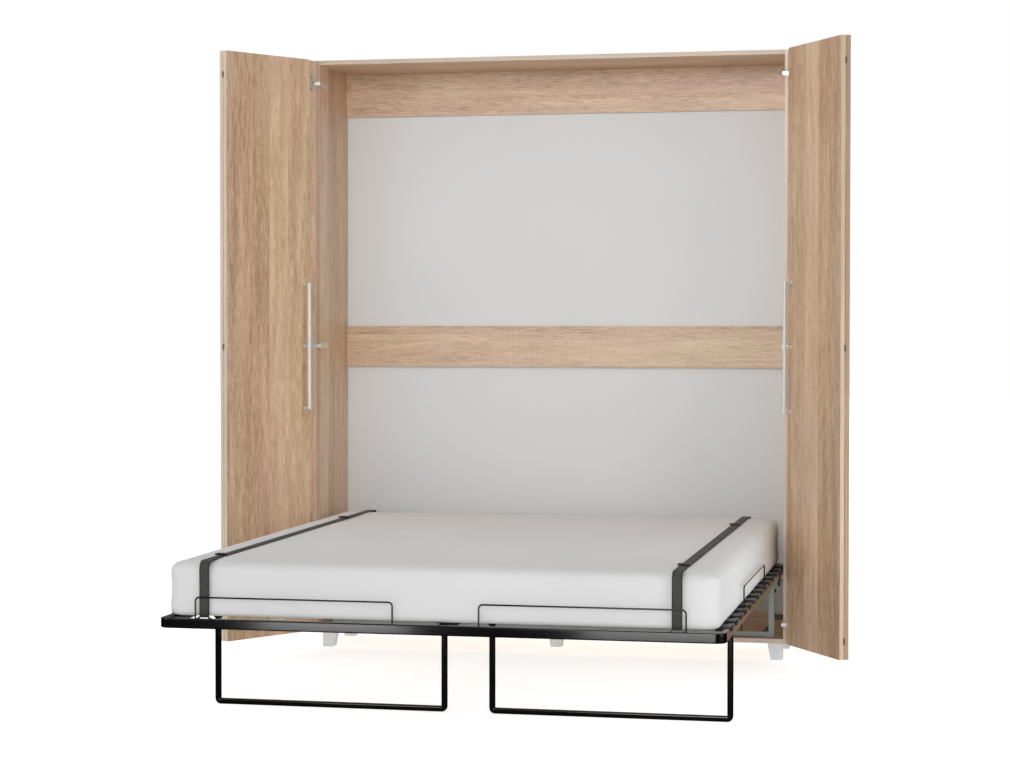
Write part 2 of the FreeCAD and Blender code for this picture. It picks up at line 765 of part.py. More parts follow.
def make_bedding():
    parts["mattress"] = mattress()
    band = strap()
    parts["strap_right"] = band
    parts["strap_left"] = mirrored(band)
    front_loop = strap_loop(bed_front + rail_width / 2)
    rear_loop = strap_loop(bed_head - rail_width / 2)
    parts["strap_loops"] = Part.makeCompound([front_loop, rear_loop,
                                              mirrored(front_loop), mirrored(rear_loop)])
    pieces = [buckle(bed_front + buckle_front), buckle(bed_head - buckle_rear)]
    parts["strap_buckles"] = Part.makeCompound(pieces + [mirrored(b) for b in pieces])


# Folding legs

def leg_hoop():
    """A square tube bent into a U that stands under the bed."""
    x0 = hoop_inner_offset + leg_tube / 2
    x1 = hoop_inner_offset + hoop_width - leg_tube / 2
    z1 = frame_bottom - leg_pivot_drop + leg_top_length
    z0 = leg_tube / 2
    bend = leg_bend_radius - leg_tube / 2
    slack = bend * (1 - math.sqrt(0.5))
    y = leg_plane

    def p(x, z):
        return Vector(x, y, z)
    path = Part.Wire([
        Part.makeLine(p(x0, z1), p(x0, z0 + bend)),
        Part.Arc(p(x0, z0 + bend), p(x0 + slack, z0 + slack), p(x0 + bend, z0)).toShape(),
        Part.makeLine(p(x0 + bend, z0), p(x1 - bend, z0)),
        Part.Arc(p(x1 - bend, z0), p(x1 - slack, z0 + slack), p(x1, z0 + bend)).toShape(),
        Part.makeLine(p(x1, z0 + bend), p(x1, z1))])

    def place(a, b):
        return Vector(x0 + a, y + b, z1)
    ring = rounded_outline(leg_tube, leg_tube, leg_rounding, place)
    hoop = path.makePipeShell([ring], True, False)
    pivot_z = frame_bottom - leg_pivot_drop
    for x in (x0, x1):
        hoop = hoop.cut(rod(p(x - leg_tube, pivot_z), p(x + leg_tube, pivot_z),
                            leg_pivot_radius + running_clearance))
    return hoop


def leg_bracket(x):
    """Two cheeks under the cross tube with the pin that carries a leg."""
    z = frame_bottom - leg_pivot_drop
    half = leg_tube / 2 + leg_cheek_gap
    pieces = []
    for side in (-1, 1):
        inner = x + side * half
        outer = inner + side * leg_cheek_steel
        low, high = min(inner, outer), max(inner, outer)
        y0 = leg_plane - leg_cheek_width / 2
        plate = box(low, high, y0, y0 + leg_cheek_width, z, frame_bottom)
        nose = Part.makeCylinder(leg_cheek_tail, high - low, Vector(low, leg_plane, z),
                                 Vector(1, 0, 0))
        pieces.append(plate.fuse(nose))
    reach = half + leg_cheek_steel
    pin = rod(Vector(x - reach, leg_plane, z), Vector(x + reach, leg_plane, z), leg_pivot_radius)
    return pin.fuse(pieces).removeSplitter()


def make_legs():
    hoop = leg_hoop()
    parts["leg_hoop_right"] = hoop
    parts["leg_hoop_left"] = mirrored(hoop)
    x0 = hoop_inner_offset + leg_tube / 2
    x1 = hoop_inner_offset + hoop_width - leg_tube / 2
    brackets = [leg_bracket(x0), leg_bracket(x1)]
    parts["leg_brackets"] = Part.makeCompound(brackets + [mirrored(b) for b in brackets])


# Lifting struts

def strut_points():
    """Lower pivot on the stand and upper pivot on the bed, in the strut's plane."""
    foot_point = Vector(strut_offset, pivot_setback, floor_top + stand_tube + strut_foot_rise)
    head_point = Vector(strut_offset, pivot_setback - strut_head_setback,
                        frame_bottom - strut_head_drop)
    return foot_point, head_point


def strut_eye(point, bored):
    half = strut_eye_thickness / 2
    eye = Part.makeCylinder(strut_eye_radius, strut_eye_thickness,
                            point - Vector(half, 0, 0), Vector(1, 0, 0))
    if bored:
        eye = eye.cut(Part.makeCylinder(strut_pin_radius + running_clearance,
                                        strut_eye_thickness + 2 * overrun,
                                        point - Vector(half + overrun, 0, 0), Vector(1, 0, 0)))
    return eye


def strut_cylinder():
    foot_point, head_point = strut_points()
    along = (head_point - foot_point).normalize()
    start = foot_point + along * strut_neck_length
    end = start + along * strut_body_length
    body = rod(start, end, strut_radius)
    neck = rod(foot_point + along * (strut_pin_radius + strut_wall()), start, strut_rod_radius)
    eye = strut_eye(foot_point, False)
    whole = body.fuse([neck, eye])
    whole = whole.cut(Part.makeCylinder(strut_pin_radius + running_clearance,
                                        strut_eye_thickness + 2 * overrun,
                                        foot_point - Vector(strut_eye_thickness / 2 + overrun, 0, 0),
                                        Vector(1, 0, 0)))
    bore_start = end - along * (strut_rod_insert + strut_neck_length / 2)
    return whole.cut(rod(bore_start, end + along * overrun,
                         strut_rod_radius + running_clearance))


def strut_wall():
    """Steel between an eye's bore and its rim."""
    return (strut_eye_radius - strut_pin_radius) / 2


def strut_rod():
    foot_point, head_point = strut_points()
    along = (head_point - foot_point).normalize()
    end = foot_point + along * (strut_neck_length + strut_body_length)
    inner_end = end - along * strut_rod_insert
    bar = rod(inner_end, head_point - along * (strut_pin_radius + strut_wall()),
              strut_rod_radius)
    return bar.fuse(strut_eye(head_point, True))


def strut_foot_bracket():
    """A plate welded on the cross tube with the pin through the strut's eye."""
    foot_point, head_point = strut_points()
    x0 = strut_offset + strut_eye_thickness / 2 + strut_lug_gap
    z0 = floor_top + stand_tube
    y0 = stand_front
    y1 = stand_front + stand_tube
    plate = box(x0, x0 + strut_lug_steel, y0, y1, z0, foot_point.z)
    nose = Part.makeCylinder((y1 - y0) / 2, strut_lug_steel,
                             Vector(x0, (y0 + y1) / 2, foot_point.z), Vector(1, 0, 0))
    pin = rod(Vector(strut_offset - strut_eye_thickness / 2 - strut_stub_gap, foot_point.y,
                     foot_point.z),
              Vector(x0, foot_point.y, foot_point.z), strut_pin_radius)
    return plate.fuse([nose, pin]).removeSplitter()


def strut_head_lug():
    """A plate under the frame's cross tube; its stub ends beside the rod's eye."""
    foot_point, head_point = strut_points()
    x0 = strut_offset + strut_eye_thickness / 2 + strut_lug_gap
    y0 = head_point.y - rail_width / 2
    plate = box(x0, x0 + strut_lug_steel, y0, y0 + rail_width, head_point.z, frame_bottom)
    nose = Part.makeCylinder(rail_width / 2, strut_lug_steel,
                             Vector(x0, head_point.y, head_point.z), Vector(1, 0, 0))
    stub_end = strut_offset + strut_eye_thickness / 2 + strut_stub_gap
    stub = rod(Vector(stub_end, head_point.y, head_point.z),
               Vector(x0, head_point.y, head_point.z), strut_pin_radius)
    return plate.fuse([nose, stub]).removeSplitter()


def make_struts():
    cylinder = strut_cylinder()
    rod_part = strut_rod()
    parts["strut_cylinder_right"] = cylinder
    parts["strut_cylinder_left"] = mirrored(cylinder)
    parts["strut_rod_right"] = rod_part
    parts["strut_rod_left"] = mirrored(rod_part)
    parts["strut_foot_brackets"] = pair(strut_foot_bracket())
    parts["strut_head_lugs"] = pair(strut_head_lug())


# Folding doors. A leaf is built shut along +X from the swing axis, then turned open.

def door_axis():
    return Vector(-(half_width - door_side_inset + door_axis_beyond), -(door_gap + board / 2), 0)


def door_levels():
    top = cabinet_height - door_top_gap
    return top - door_height, top


def opened(shape):
    """Turn a left-hand piece from the shut pose to the open pose."""
    turned = shape.copy()
    turned.rotate(door_axis(), Vector(0, 0, 1), -door_open_angle)
    return turned


def leaf_back():
    """Y of the shut leaf's back face."""
    return -door_gap


def outer_edge():
    """X of the shut outer leaf's hinge edge, on the left."""
    return door_axis().x + door_axis_beyond


def fold_axis_x():
    return outer_edge() + outer_leaf_width + door_gap / 2


def outer_leaf():
    z0, z1 = door_levels()
    x0 = outer_edge()
    leaf = box(x0, x0 + outer_leaf_width, leaf_back() - board, leaf_back(), z0, z1)
    for z in hinge_heights():
        cup = Part.makeCylinder(cup_radius + seat_clearance, cup_depth + seat_clearance,
                                Vector(x0 + cup_edge_distance, leaf_back(), z), Vector(0, -1, 0))
        slot_half = hinge_arm_width / 2 + hinge_steel + 2 * hinge_knuckle_gap
        slot = box(x0 - overrun, x0 + cup_edge_distance, leaf_back() - board + hinge_steel,
                   leaf_back() + overrun, z - slot_half, z + slot_half)
        leaf = leaf.cut(cup.fuse(slot))
        leaf = leaf.cut(fold_notch(leaf_back(), -1, z))
    return leaf


def fold_reach():
    """How far a fold hinge's knuckle needs room inside a leaf's fold edge."""
    return fold_knuckle_radius - door_gap / 2 + hinge_knuckle_gap


def fold_notch(y_back, inward, z):
    """Room for the fold hinge's knuckles in the back face of a leaf at its fold edge."""
    half = fold_knuckle_height / 2 + hinge_knuckle_gap
    x1 = outer_edge() + outer_leaf_width
    depth = y_back + inward * fold_reach()
    mouth = y_back - inward * overrun
    return box(x1 - fold_reach(), x1 + overrun, min(depth, mouth), max(depth, mouth),
               z - half, z + half)


def hinge_cup(z):
    """Cup, its flange and the link to the swing axis, on the outer leaf."""
    x0 = outer_edge()
    axis = door_axis()
    y = leaf_back()
    cup = Part.makeCylinder(cup_radius, cup_depth, Vector(x0 + cup_edge_distance, y, z),
                            Vector(0, -1, 0))
    cup = cup.cut(Part.makeCylinder(cup_radius - hinge_steel, cup_depth - hinge_steel,
                                    Vector(x0 + cup_edge_distance, y, z), Vector(0, -1, 0)))
    flange_x = x0 + cup_edge_distance
    flange = box(flange_x - cup_flange_width / 2, flange_x + cup_flange_width / 2,
                 y, y + hinge_steel, z - cup_flange_length / 2, z + cup_flange_length / 2)
    pieces = [flange]
    low = hinge_arm_width / 2 + hinge_knuckle_gap
    for side in (-1, 1):
        a = z + side * low
        b = a + side * hinge_steel
        z0, z1 = min(a, b), max(a, b)
        cheek = box(axis.x, flange_x, axis.y - hinge_pin_radius, y + hinge_steel, z0, z1)
        eye = Part.makeCylinder(hinge_knuckle_radius, z1 - z0, Vector(axis.x, axis.y, z0))
        pieces.extend([cheek, eye])
    pin = Part.makeCylinder(hinge_pin_radius, 2 * (low + hinge_steel),
                            Vector(axis.x, axis.y, z - low - hinge_steel))
    return cup.fuse(pieces + [pin]).removeSplitter()


def hinge_arm(z):
    """Mounting plate on the side panel and the arm that reaches the swing axis."""
    axis = door_axis()
    inner = -inner_half
    plate = box(inner, inner + hinge_steel, hinge_plate_front,
                hinge_plate_front + hinge_plate_length,
                z - hinge_plate_width / 2, z + hinge_plate_width / 2)
    half = hinge_arm_width / 2
    face = inner + hinge_steel + hinge_arm_thickness
    front = -hinge_arm_setback
    shank = box(inner + hinge_steel, face, front,
                hinge_plate_front + hinge_plate_length - hinge_arm_depth, z - half, z + half)
    reach = box(axis.x, face, front, front + hinge_arm_depth, z - half, z + half)
    eye = Part.makeCylinder(hinge_knuckle_radius, hinge_arm_width,
                            Vector(axis.x, axis.y, z - half))
    arm = plate.fuse([shank, reach, eye]).removeSplitter()
    return arm.cut(Part.makeCylinder(hinge_pin_radius + running_clearance,
                                     hinge_arm_width + 2 * overrun,
                                     Vector(axis.x, axis.y, z - half - overrun)))


def inner_leaf_back():
    """Y of the folded inner leaf's back face, in the shut pose of the outer leaf."""
    return leaf_back() + door_gap


def inner_leaf():
    """The inner leaf lies back to back on the outer leaf."""
    z0, z1 = door_levels()
    x1 = outer_edge() + outer_leaf_width
    y0 = inner_leaf_back()
    leaf = box(x1 - inner_leaf_width, x1, y0, y0 + board, z0, z1)
    for z in hinge_heights():
        leaf = leaf.cut(fold_notch(y0, 1, z))
    return leaf


def fold_axis_point(z):
    return Vector(fold_axis_x(), (leaf_back() + inner_leaf_back()) / 2, z)


def fold_leaf_plate(y0, y1, spans, z):
    """A flat hinge plate with a tongue to the pin at each knuckle's height span."""
    x1 = outer_edge() + outer_leaf_width - fold_reach()
    plate = box(x1 - fold_plate_width, x1, y0, y1,
                z - fold_plate_height / 2, z + fold_plate_height / 2)
    tongues = [box(x1, fold_axis_x(), y0, y1, z0, z1) for z0, z1 in spans]
    return plate.fuse(tongues)


def fold_hinge(z):
    """Plate and pin of a fold hinge, carried by the outer leaf."""
    point = fold_axis_point(z)
    third = fold_knuckle_height / 3
    plate = fold_leaf_plate(leaf_back(), leaf_back() + fold_plate_steel,
                            [(z - third / 2, z + third / 2)], z)
    knuckle = Part.makeCylinder(fold_knuckle_radius, third,
                                Vector(point.x, point.y, z - third / 2))
    pin = Part.makeCylinder(hinge_pin_radius, fold_knuckle_height,
                            Vector(point.x, point.y, z - fold_knuckle_height / 2))
    return plate.fuse([knuckle, pin]).removeSplitter()


def fold_plate(z):
    """The inner leaf's half of a fold hinge, with two knuckles round the pin."""
    point = fold_axis_point(z)
    half = fold_knuckle_height / 2
    inner = half / 3 + hinge_knuckle_gap
    spans = [(z - half, z - inner), (z + inner, z + half)]
    plate = fold_leaf_plate(inner_leaf_back() - fold_plate_steel, inner_leaf_back(), spans, z)
    pieces = [Part.makeCylinder(fold_knuckle_radius, z1 - z0, Vector(point.x, point.y, z0))
              for z0, z1 in spans]
    bore = Part.makeCylinder(hinge_pin_radius + running_clearance,
                             fold_knuckle_height + 2 * overrun,
                             Vector(point.x, point.y, z - fold_knuckle_height / 2 - overrun))
    return plate.fuse(pieces).removeSplitter().cut(bore)


def handle():
    """A long bar on three posts, near the inner leaf's free edge."""
    x = outer_edge() + outer_leaf_width - inner_leaf_width + handle_edge_distance
    face = inner_leaf_back() + board
    y = face + handle_standoff
    bar = rod(Vector(x, y, handle_bottom), Vector(x, y, handle_bottom + handle_length),
              handle_radius)
    pieces = []
    span = handle_length - 2 * handle_post_inset
    for index in range(handle_count):
        z = handle_bottom + handle_post_inset + span * index / (handle_count - 1)
        pieces.append(rod(Vector(x, face, z), Vector(x, y, z), handle_post_radius))
        pieces.append(rod(Vector(x, face, z), Vector(x, face + handle_flange_thickness, z),
                          handle_post_flange))
    return bar.fuse(pieces)


def add_door_piece(name, shape):
    """Store a left-hand door piece, turned open, and its right-hand twin."""
    left = opened(shape)
    parts[name + "_left"] = left
    parts[name + "_right"] = mirrored(left)


def make_doors():
    heights = hinge_heights()
    arms = Part.makeCompound([hinge_arm(z) for z in heights])
    parts["hinge_arms"] = pair(arms)
    add_door_piece("door_leaf_outer", outer_leaf())
    add_door_piece("hinge_cups", Part.makeCompound([hinge_cup(z) for z in heights]))
    add_door_piece("fold_hinges", Part.makeCompound([fold_hinge(z) for z in heights]))
    add_door_piece("door_leaf_inner", inner_leaf())
    add_door_piece("fold_plates", Part.makeCompound([fold_plate(z) for z in heights]))
    add_door_piece("handle", handle())


def export_parts():
    os.makedirs("parts", exist_ok=True)
    for name, shape in parts.items():
        placed = shape.copy()
        placed.translate(Vector(0, -origin_shift, 0))
        placed.exportStep("parts/" + name + ".step")


def print_joint_places():
    """The joint centres that the record states, in the exported frame."""
    axis = door_axis()
    fold = fold_axis_point(0)
    fold_shape = Part.Vertex(fold)
    fold_shape.rotate(axis, Vector(0, 0, 1), -door_open_angle)
    foot_point, head_point = strut_points()
    print("bed pivot y, z:", pivot_setback - origin_shift, pivot_height)
    print("leg pivot y, z:", leg_plane - origin_shift, frame_bottom - leg_pivot_drop)
    print("strut foot y, z:", foot_point.y - origin_shift, foot_point.z)
    print("strut head y, z:", head_point.y - origin_shift, head_point.z)
    print("door axis x, y:", axis.x, axis.y - origin_shift)
    print("fold axis x, y:", fold_shape.X, fold_shape.Y - origin_shift)


make_boards()
make_feet()
make_wall_brackets()
make_stand()
make_frame()
make_slats()
make_retainers()
make_bedding()
make_legs()
make_struts()
make_doors()
export_parts()
print_joint_places()
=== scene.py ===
# Wall bed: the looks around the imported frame. Metres, +Z up, the bed's foot end towards -Y.
import math

import bmesh
import bpy
from mathutils import Matrix, Vector, noise


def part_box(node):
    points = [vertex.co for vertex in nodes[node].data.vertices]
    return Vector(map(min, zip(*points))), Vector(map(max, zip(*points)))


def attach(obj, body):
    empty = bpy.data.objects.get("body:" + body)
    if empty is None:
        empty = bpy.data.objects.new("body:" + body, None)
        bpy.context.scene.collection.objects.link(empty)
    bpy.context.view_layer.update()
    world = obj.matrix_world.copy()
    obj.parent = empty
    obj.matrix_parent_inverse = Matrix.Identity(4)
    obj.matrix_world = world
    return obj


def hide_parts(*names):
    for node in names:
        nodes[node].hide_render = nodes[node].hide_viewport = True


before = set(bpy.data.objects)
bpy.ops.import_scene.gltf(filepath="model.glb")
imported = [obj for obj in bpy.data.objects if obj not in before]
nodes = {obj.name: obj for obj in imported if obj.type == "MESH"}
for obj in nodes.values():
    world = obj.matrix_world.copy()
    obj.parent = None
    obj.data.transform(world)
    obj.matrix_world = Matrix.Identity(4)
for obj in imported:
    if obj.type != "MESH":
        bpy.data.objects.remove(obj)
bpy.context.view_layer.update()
print("frame loaded:", len(nodes), "nodes")

acrossX = Vector((1, 0, 0))
acrossY = Vector((0, 1, 0))
upwards = Vector((0, 0, 1))


# Camera, floor and light

cameraSetup = {
    "place": (1.5818, -7.8991, 1.2174),
    "lens": 85.54,
    "tiltDegrees": -1.387,
    "turnDegrees": 12.577,
    "shiftX": 0.0479,
    "clipEnd": 100,
}


def makeCamera(setup):
    data = bpy.data.cameras.new("camera")
    data.lens = setup["lens"]
    data.shift_x = setup["shiftX"]
    data.clip_end = setup["clipEnd"]
    camera = bpy.data.objects.new("camera", data)
    camera.location = setup["place"]
    camera.rotation_euler = (math.radians(90 + setup["tiltDegrees"]), 0,
                             math.radians(setup["turnDegrees"]))
    bpy.context.scene.collection.objects.link(camera)
    bpy.context.scene.camera = camera


makeCamera(cameraSetup)

studio = {
    "floorSize": 60.0,
    "floorGrey": 0.9,
    "floorSeen": 0.65,        # the floor's own glow as the camera sees it
    "floorFill": 0.85,        # what it gives back to matt surfaces
    "worldSeen": 1.0,
    "worldFill": 0.595,
    "worldGloss": 0.15,
    "lamps": (
        # name, place, aims at, size in metres, power in watts, spread in degrees
        ("front", (0.75, -8.8, 2.0), (0, 0.2, 0.9), (2.2, 2.2), 118, 180),
        ("left", (-3.6, -6.5, 3.4), (0, 0.2, 0.9), (3.0, 3.0), 26, 180),
        ("inside", (0, -3.0, 2.7), (0, 1.1, 2.2), (2.4, 1.0), 8.5, 90),
        ("lowRight", (2.7, -1.7, 0.45), (0.84, -0.4, 0.4), (0.6, 0.6), 2.0, 60),
    ),
    "strips": (
        # narrow lamps that only show as streaks in gloss
        ("stripLeft", (-0.96, -3.45, 0.02), (-0.96, -1.1, 0.31), (0.60, 0.9), 16),
        ("stripRight", (0.44, -3.45, 0.02), (0.44, -1.1, 0.31), (0.78, 0.9), 17),
        ("paleRight", (-0.55, -8.8, 2.6), (0.6, 1.0, 1.7), (1.1, 2.6), 70),
        ("rimLeft", (-4.6, -5.2, 0.9), (0, -1.0, 0.2), (0.35, 2.0), 60),
        ("rimRight", (5.2, -4.2, 0.9), (0, -1.0, 0.2), (0.35, 2.0), 60),
    ),
}


def strengthByRay(tree, rays):
    # a strength that depends on the kind of ray that asks for it
    path = tree.nodes.new("ShaderNodeLightPath")
    total = None
    for output, strength in rays:
        part = tree.nodes.new("ShaderNodeMath")
        part.operation = "MULTIPLY"
        tree.links.new(path.outputs[output], part.inputs[0])
        part.inputs[1].default_value = strength
        if total is None:
            total = part
        else:
            joined = tree.nodes.new("ShaderNodeMath")
            tree.links.new(total.outputs[0], joined.inputs[0])
            tree.links.new(part.outputs[0], joined.inputs[1])
            total = joined
    return total.outputs[0]


def addLamp(name, place, target, size, power, spread=180):
    # a rectangular lamp that the camera doesn't see
    lamp = bpy.data.lights.new(name, "AREA")
    lamp.shape = "RECTANGLE"
    lamp.size, lamp.size_y = size
    lamp.energy = power
    lamp.spread = math.radians(spread)
    holder = bpy.data.objects.new(name, lamp)
    holder.location = place
    aim = Vector(target) - Vector(place)
    holder.rotation_euler = aim.to_track_quat("-Z", "Y").to_euler()
    holder.visible_camera = False
    bpy.context.scene.collection.objects.link(holder)
    return holder


def makeWorld(setup):
    world = bpy.data.worlds.new("studio")
    world.use_nodes = True
    tree = world.node_tree
    background = tree.nodes["Background"]
    background.inputs["Color"].default_value = (1, 1, 1, 1)
    strength = strengthByRay(tree, (("Is Camera Ray", setup["worldSeen"]),
                                    ("Is Diffuse Ray", setup["worldFill"]),
                                    ("Is Glossy Ray", setup["worldGloss"])))
    tree.links.new(strength, background.inputs["Strength"])
    bpy.context.scene.world = world


def makeFloor(setup):
    mesh = bpy.data.meshes.new("floor")
    shape = bmesh.new()
    bmesh.ops.create_grid(shape, x_segments=1, y_segments=1, size=setup["floorSize"] / 2)
    shape.to_mesh(mesh)
    shape.free()
    floor = bpy.data.objects.new("floor", mesh)
    bpy.context.scene.collection.objects.link(floor)
    material = bpy.data.materials.new("floorPaint")
    material.use_nodes = True
    tree = material.node_tree
    shader = tree.nodes["Principled BSDF"]
    grey = setup["floorGrey"]
    shader.inputs["Base Color"].default_value = (grey, grey, grey, 1)
    shader.inputs["Roughness"].default_value = 1.0
    shader.inputs["Specular IOR Level"].default_value = 0.0
    shader.inputs["Emission Color"].default_value = (1, 1, 1, 1)
    shader.inputs["Emission Strength"].default_value = setup["floorSeen"]
    glow = tree.nodes.new("ShaderNodeEmission")
    mix = tree.nodes.new("ShaderNodeMixShader")
    path = tree.nodes.new("ShaderNodeLightPath")
    tree.links.new(strengthByRay(tree, (("Is Diffuse Ray", setup["floorFill"]),)),
                   glow.inputs["Strength"])
    tree.links.new(path.outputs["Is Camera Ray"], mix.inputs[0])
    tree.links.new(glow.outputs[0], mix.inputs[1])
    tree.links.new(shader.outputs[0], mix.inputs[2])
    tree.links.new(mix.outputs[0], tree.nodes["Material Output"].inputs["Surface"])
    mesh.materials.append(material)


makeWorld(studio)
for row in studio["lamps"]:
    addLamp(*row)
for row in studio["strips"]:
    addLamp(*row).visible_diffuse = False
makeFloor(studio)
bpy.context.scene.view_settings.view_transform = "Standard"
print("camera, floor and light are set")


# Material building blocks

class Finish:
    # a material being built: its nodes are added and joined by name

    def __init__(self, name):
        self.material = bpy.data.materials.new(name)
        self.material.use_nodes = True
        self.tree = self.material.node_tree
        self.shader = self.tree.nodes["Principled BSDF"]

    def add(self, kind, inputs=None, **settings):
        node = self.tree.nodes.new("ShaderNode" + kind)
        for key, value in settings.items():
            setattr(node, key, value)
        for key, value in (inputs or {}).items():
            self.feed(value, node.inputs[key])
        return node

    def feed(self, value, socket):
        if isinstance(value, bpy.types.NodeSocket):
            self.tree.links.new(value, socket)
        else:
            socket.default_value = value

    def math(self, operation, first, second=0.0):
        node = self.add("Math", operation=operation)
        for value, socket in zip((first, second), node.inputs):
            self.feed(value, socket)
        return node.outputs[0]

    def sum(self, first, second):
        return self.math("ADD", first, second)

    def times(self, first, second):
        return self.math("MULTIPLY", first, second)

    def ramp(self, value, stops):
        node = self.add("ValToRGB", {"Fac": value})
        elements = node.color_ramp.elements
        while len(elements) < len(stops):
            elements.new(0.5)
        for element, (place, tone) in zip(elements, stops):
            element.position = place
            element.color = (*tone, 1)
        return node.outputs["Color"]

    def blend(self, share, first, second, kind="MIX"):
        node = self.add("Mix", data_type="RGBA", blend_type=kind)
        sockets = [s for s in node.inputs if s.enabled]
        self.feed(share, sockets[0])
        for value, socket in ((first, sockets[1]), (second, sockets[2])):
            self.feed((*value, 1) if isinstance(value, tuple) else value, socket)
        return [s for s in node.outputs if s.enabled][0]

    def place(self, scale=(1, 1, 1), rotation=(0, 0, 0), location=(0, 0, 0), vector=None):
        source = vector or self.add("TexCoord").outputs["Object"]
        node = self.add("Mapping", {"Vector": source, "Location": location,
                                    "Rotation": rotation, "Scale": scale})
        return node.outputs["Vector"]

    def noise(self, scale, detail=3.0, roughness=0.5, distortion=0.0, vector=None):
        # the scale is one number, or one for each axis
        scale = scale if isinstance(scale, tuple) else (scale,) * 3
        node = self.add("TexNoise", {"Vector": self.place(scale, vector=vector), "Scale": 1.0,
                                     "Detail": detail, "Roughness": roughness,
                                     "Distortion": distortion})
        return node.outputs["Fac"]

    def roughBy(self, value, low, high):
        span = self.add("MapRange", {"Value": value, "To Min": low, "To Max": high})
        self.feed(span.outputs["Result"], self.shader.inputs["Roughness"])

    def bump(self, height, strength, distance):
        node = self.add("Bump", {"Height": height, "Strength": strength, "Distance": distance})
        self.feed(node.outputs["Normal"], self.shader.inputs["Normal"])

    def set(self, **values):
        names = {"color": "Base Color", "roughness": "Roughness", "metallic": "Metallic",
                 "coat": "Coat Weight", "coatRoughness": "Coat Roughness",
                 "specular": "Specular IOR Level", "sheen": "Sheen Weight",
                 "sheenRoughness": "Sheen Roughness"}
        for key, value in values.items():
            if isinstance(value, tuple):
                value = (*value, 1)
            self.feed(value, self.shader.inputs[names[key]])


def tint(red, green, blue):
    # display values from 0 to 255 as the linear colour that a shader takes
    def linear(value):
        share = value / 255
        return share / 12.92 if share <= 0.04045 else ((share + 0.055) / 1.055) ** 2.4
    return linear(red), linear(green), linear(blue)


# Oak foil: staves, arched figure, fibres, pores and saw marks, with plain edge bands

oak = {
    "light": tint(240, 209, 176),
    "mid": tint(219, 184, 149),
    "dark": tint(179, 142, 108),
    "pore": tint(135, 102, 75),
    "toneStops": (0.42, 0.55, 0.68),
    "stavesPerMetre": 9.0,
    "staveWander": 0.02,
    "staveShare": 0.14,           # how far the tone differs from stave to stave
    "figure": (8.5, 0.85, 8.5),   # noise scales: across, along and through the board
    "rings": 15.0,
    "ringShare": 0.30,
    "fibre": (210, 19, 210),
    "fibreShare": 0.64,
    "coarse": (26, 1.6, 26),
    "pores": (620, 26, 620),
    "poreShare": 0.28,
    "hue": (5.0, 0.8, 5.0),
    "sawMarksPerMetre": 118.0,
    "sawPatch": (7.0, 2.6, 7.0),
    "sawWander": 12.0,
    "sawLightShare": 0.42,
    "sawDarkShare": 0.34,
    "bandFibre": (90, 5, 90),
    "bandShade": 0.88,
    "roughness": (0.38, 0.50),
    "bumpStrength": 0.25,
    "bumpDepth": 0.0006,
}
edgeBands = {
    "pale": tint(236, 216, 195),
    "cream": tint(226, 207, 187),
    "warm": tint(228, 201, 170),
    "sand": tint(199, 177, 156),
    # brown is the right outer door's own edge colour, and painted shade on the left side panel's
    # front edge
    "brown": tint(190, 160, 133),
}
black = (0, 0, 0)
white = (1, 1, 1)


def oakStaves(finish, board, run):
    # a number for each stave's tone, and a place that jumps from stave to stave
    wander = finish.noise((2.0, 0.7, 2.0), 1.0, vector=board)
    line = finish.sum(run, finish.times(wander, oak["staveWander"]))
    cells = finish.add("TexVoronoi", {"W": line, "Scale": oak["stavesPerMetre"],
                                      "Randomness": 0.75}, voronoi_dimensions="1D")
    colors = cells.outputs["Color"]
    shift = finish.add("VectorMath", {0: colors, 1: (3.1, 7.7, 0.4)}, operation="MULTIPLY")
    stave = finish.add("VectorMath", {0: board, 1: shift.outputs[0]}, operation="ADD")
    return finish.add("SeparateXYZ", {"Vector": colors}).outputs["X"], stave.outputs[0]


def oakSawMarks(finish, board, stave, alongGrain):
    # fine waves across the grain, in patches
    place = finish.noise(oak["sawPatch"], 2.0, vector=stave)
    patch = finish.ramp(place, ((0.50, black), (0.62, white)))
    wander = finish.noise((16, 9, 16), 2.0, vector=board)
    run = finish.sum(finish.times(alongGrain, oak["sawMarksPerMetre"] * math.tau),
                     finish.times(wander, oak["sawWander"]))
    return finish.times(finish.math("SINE", run), patch)


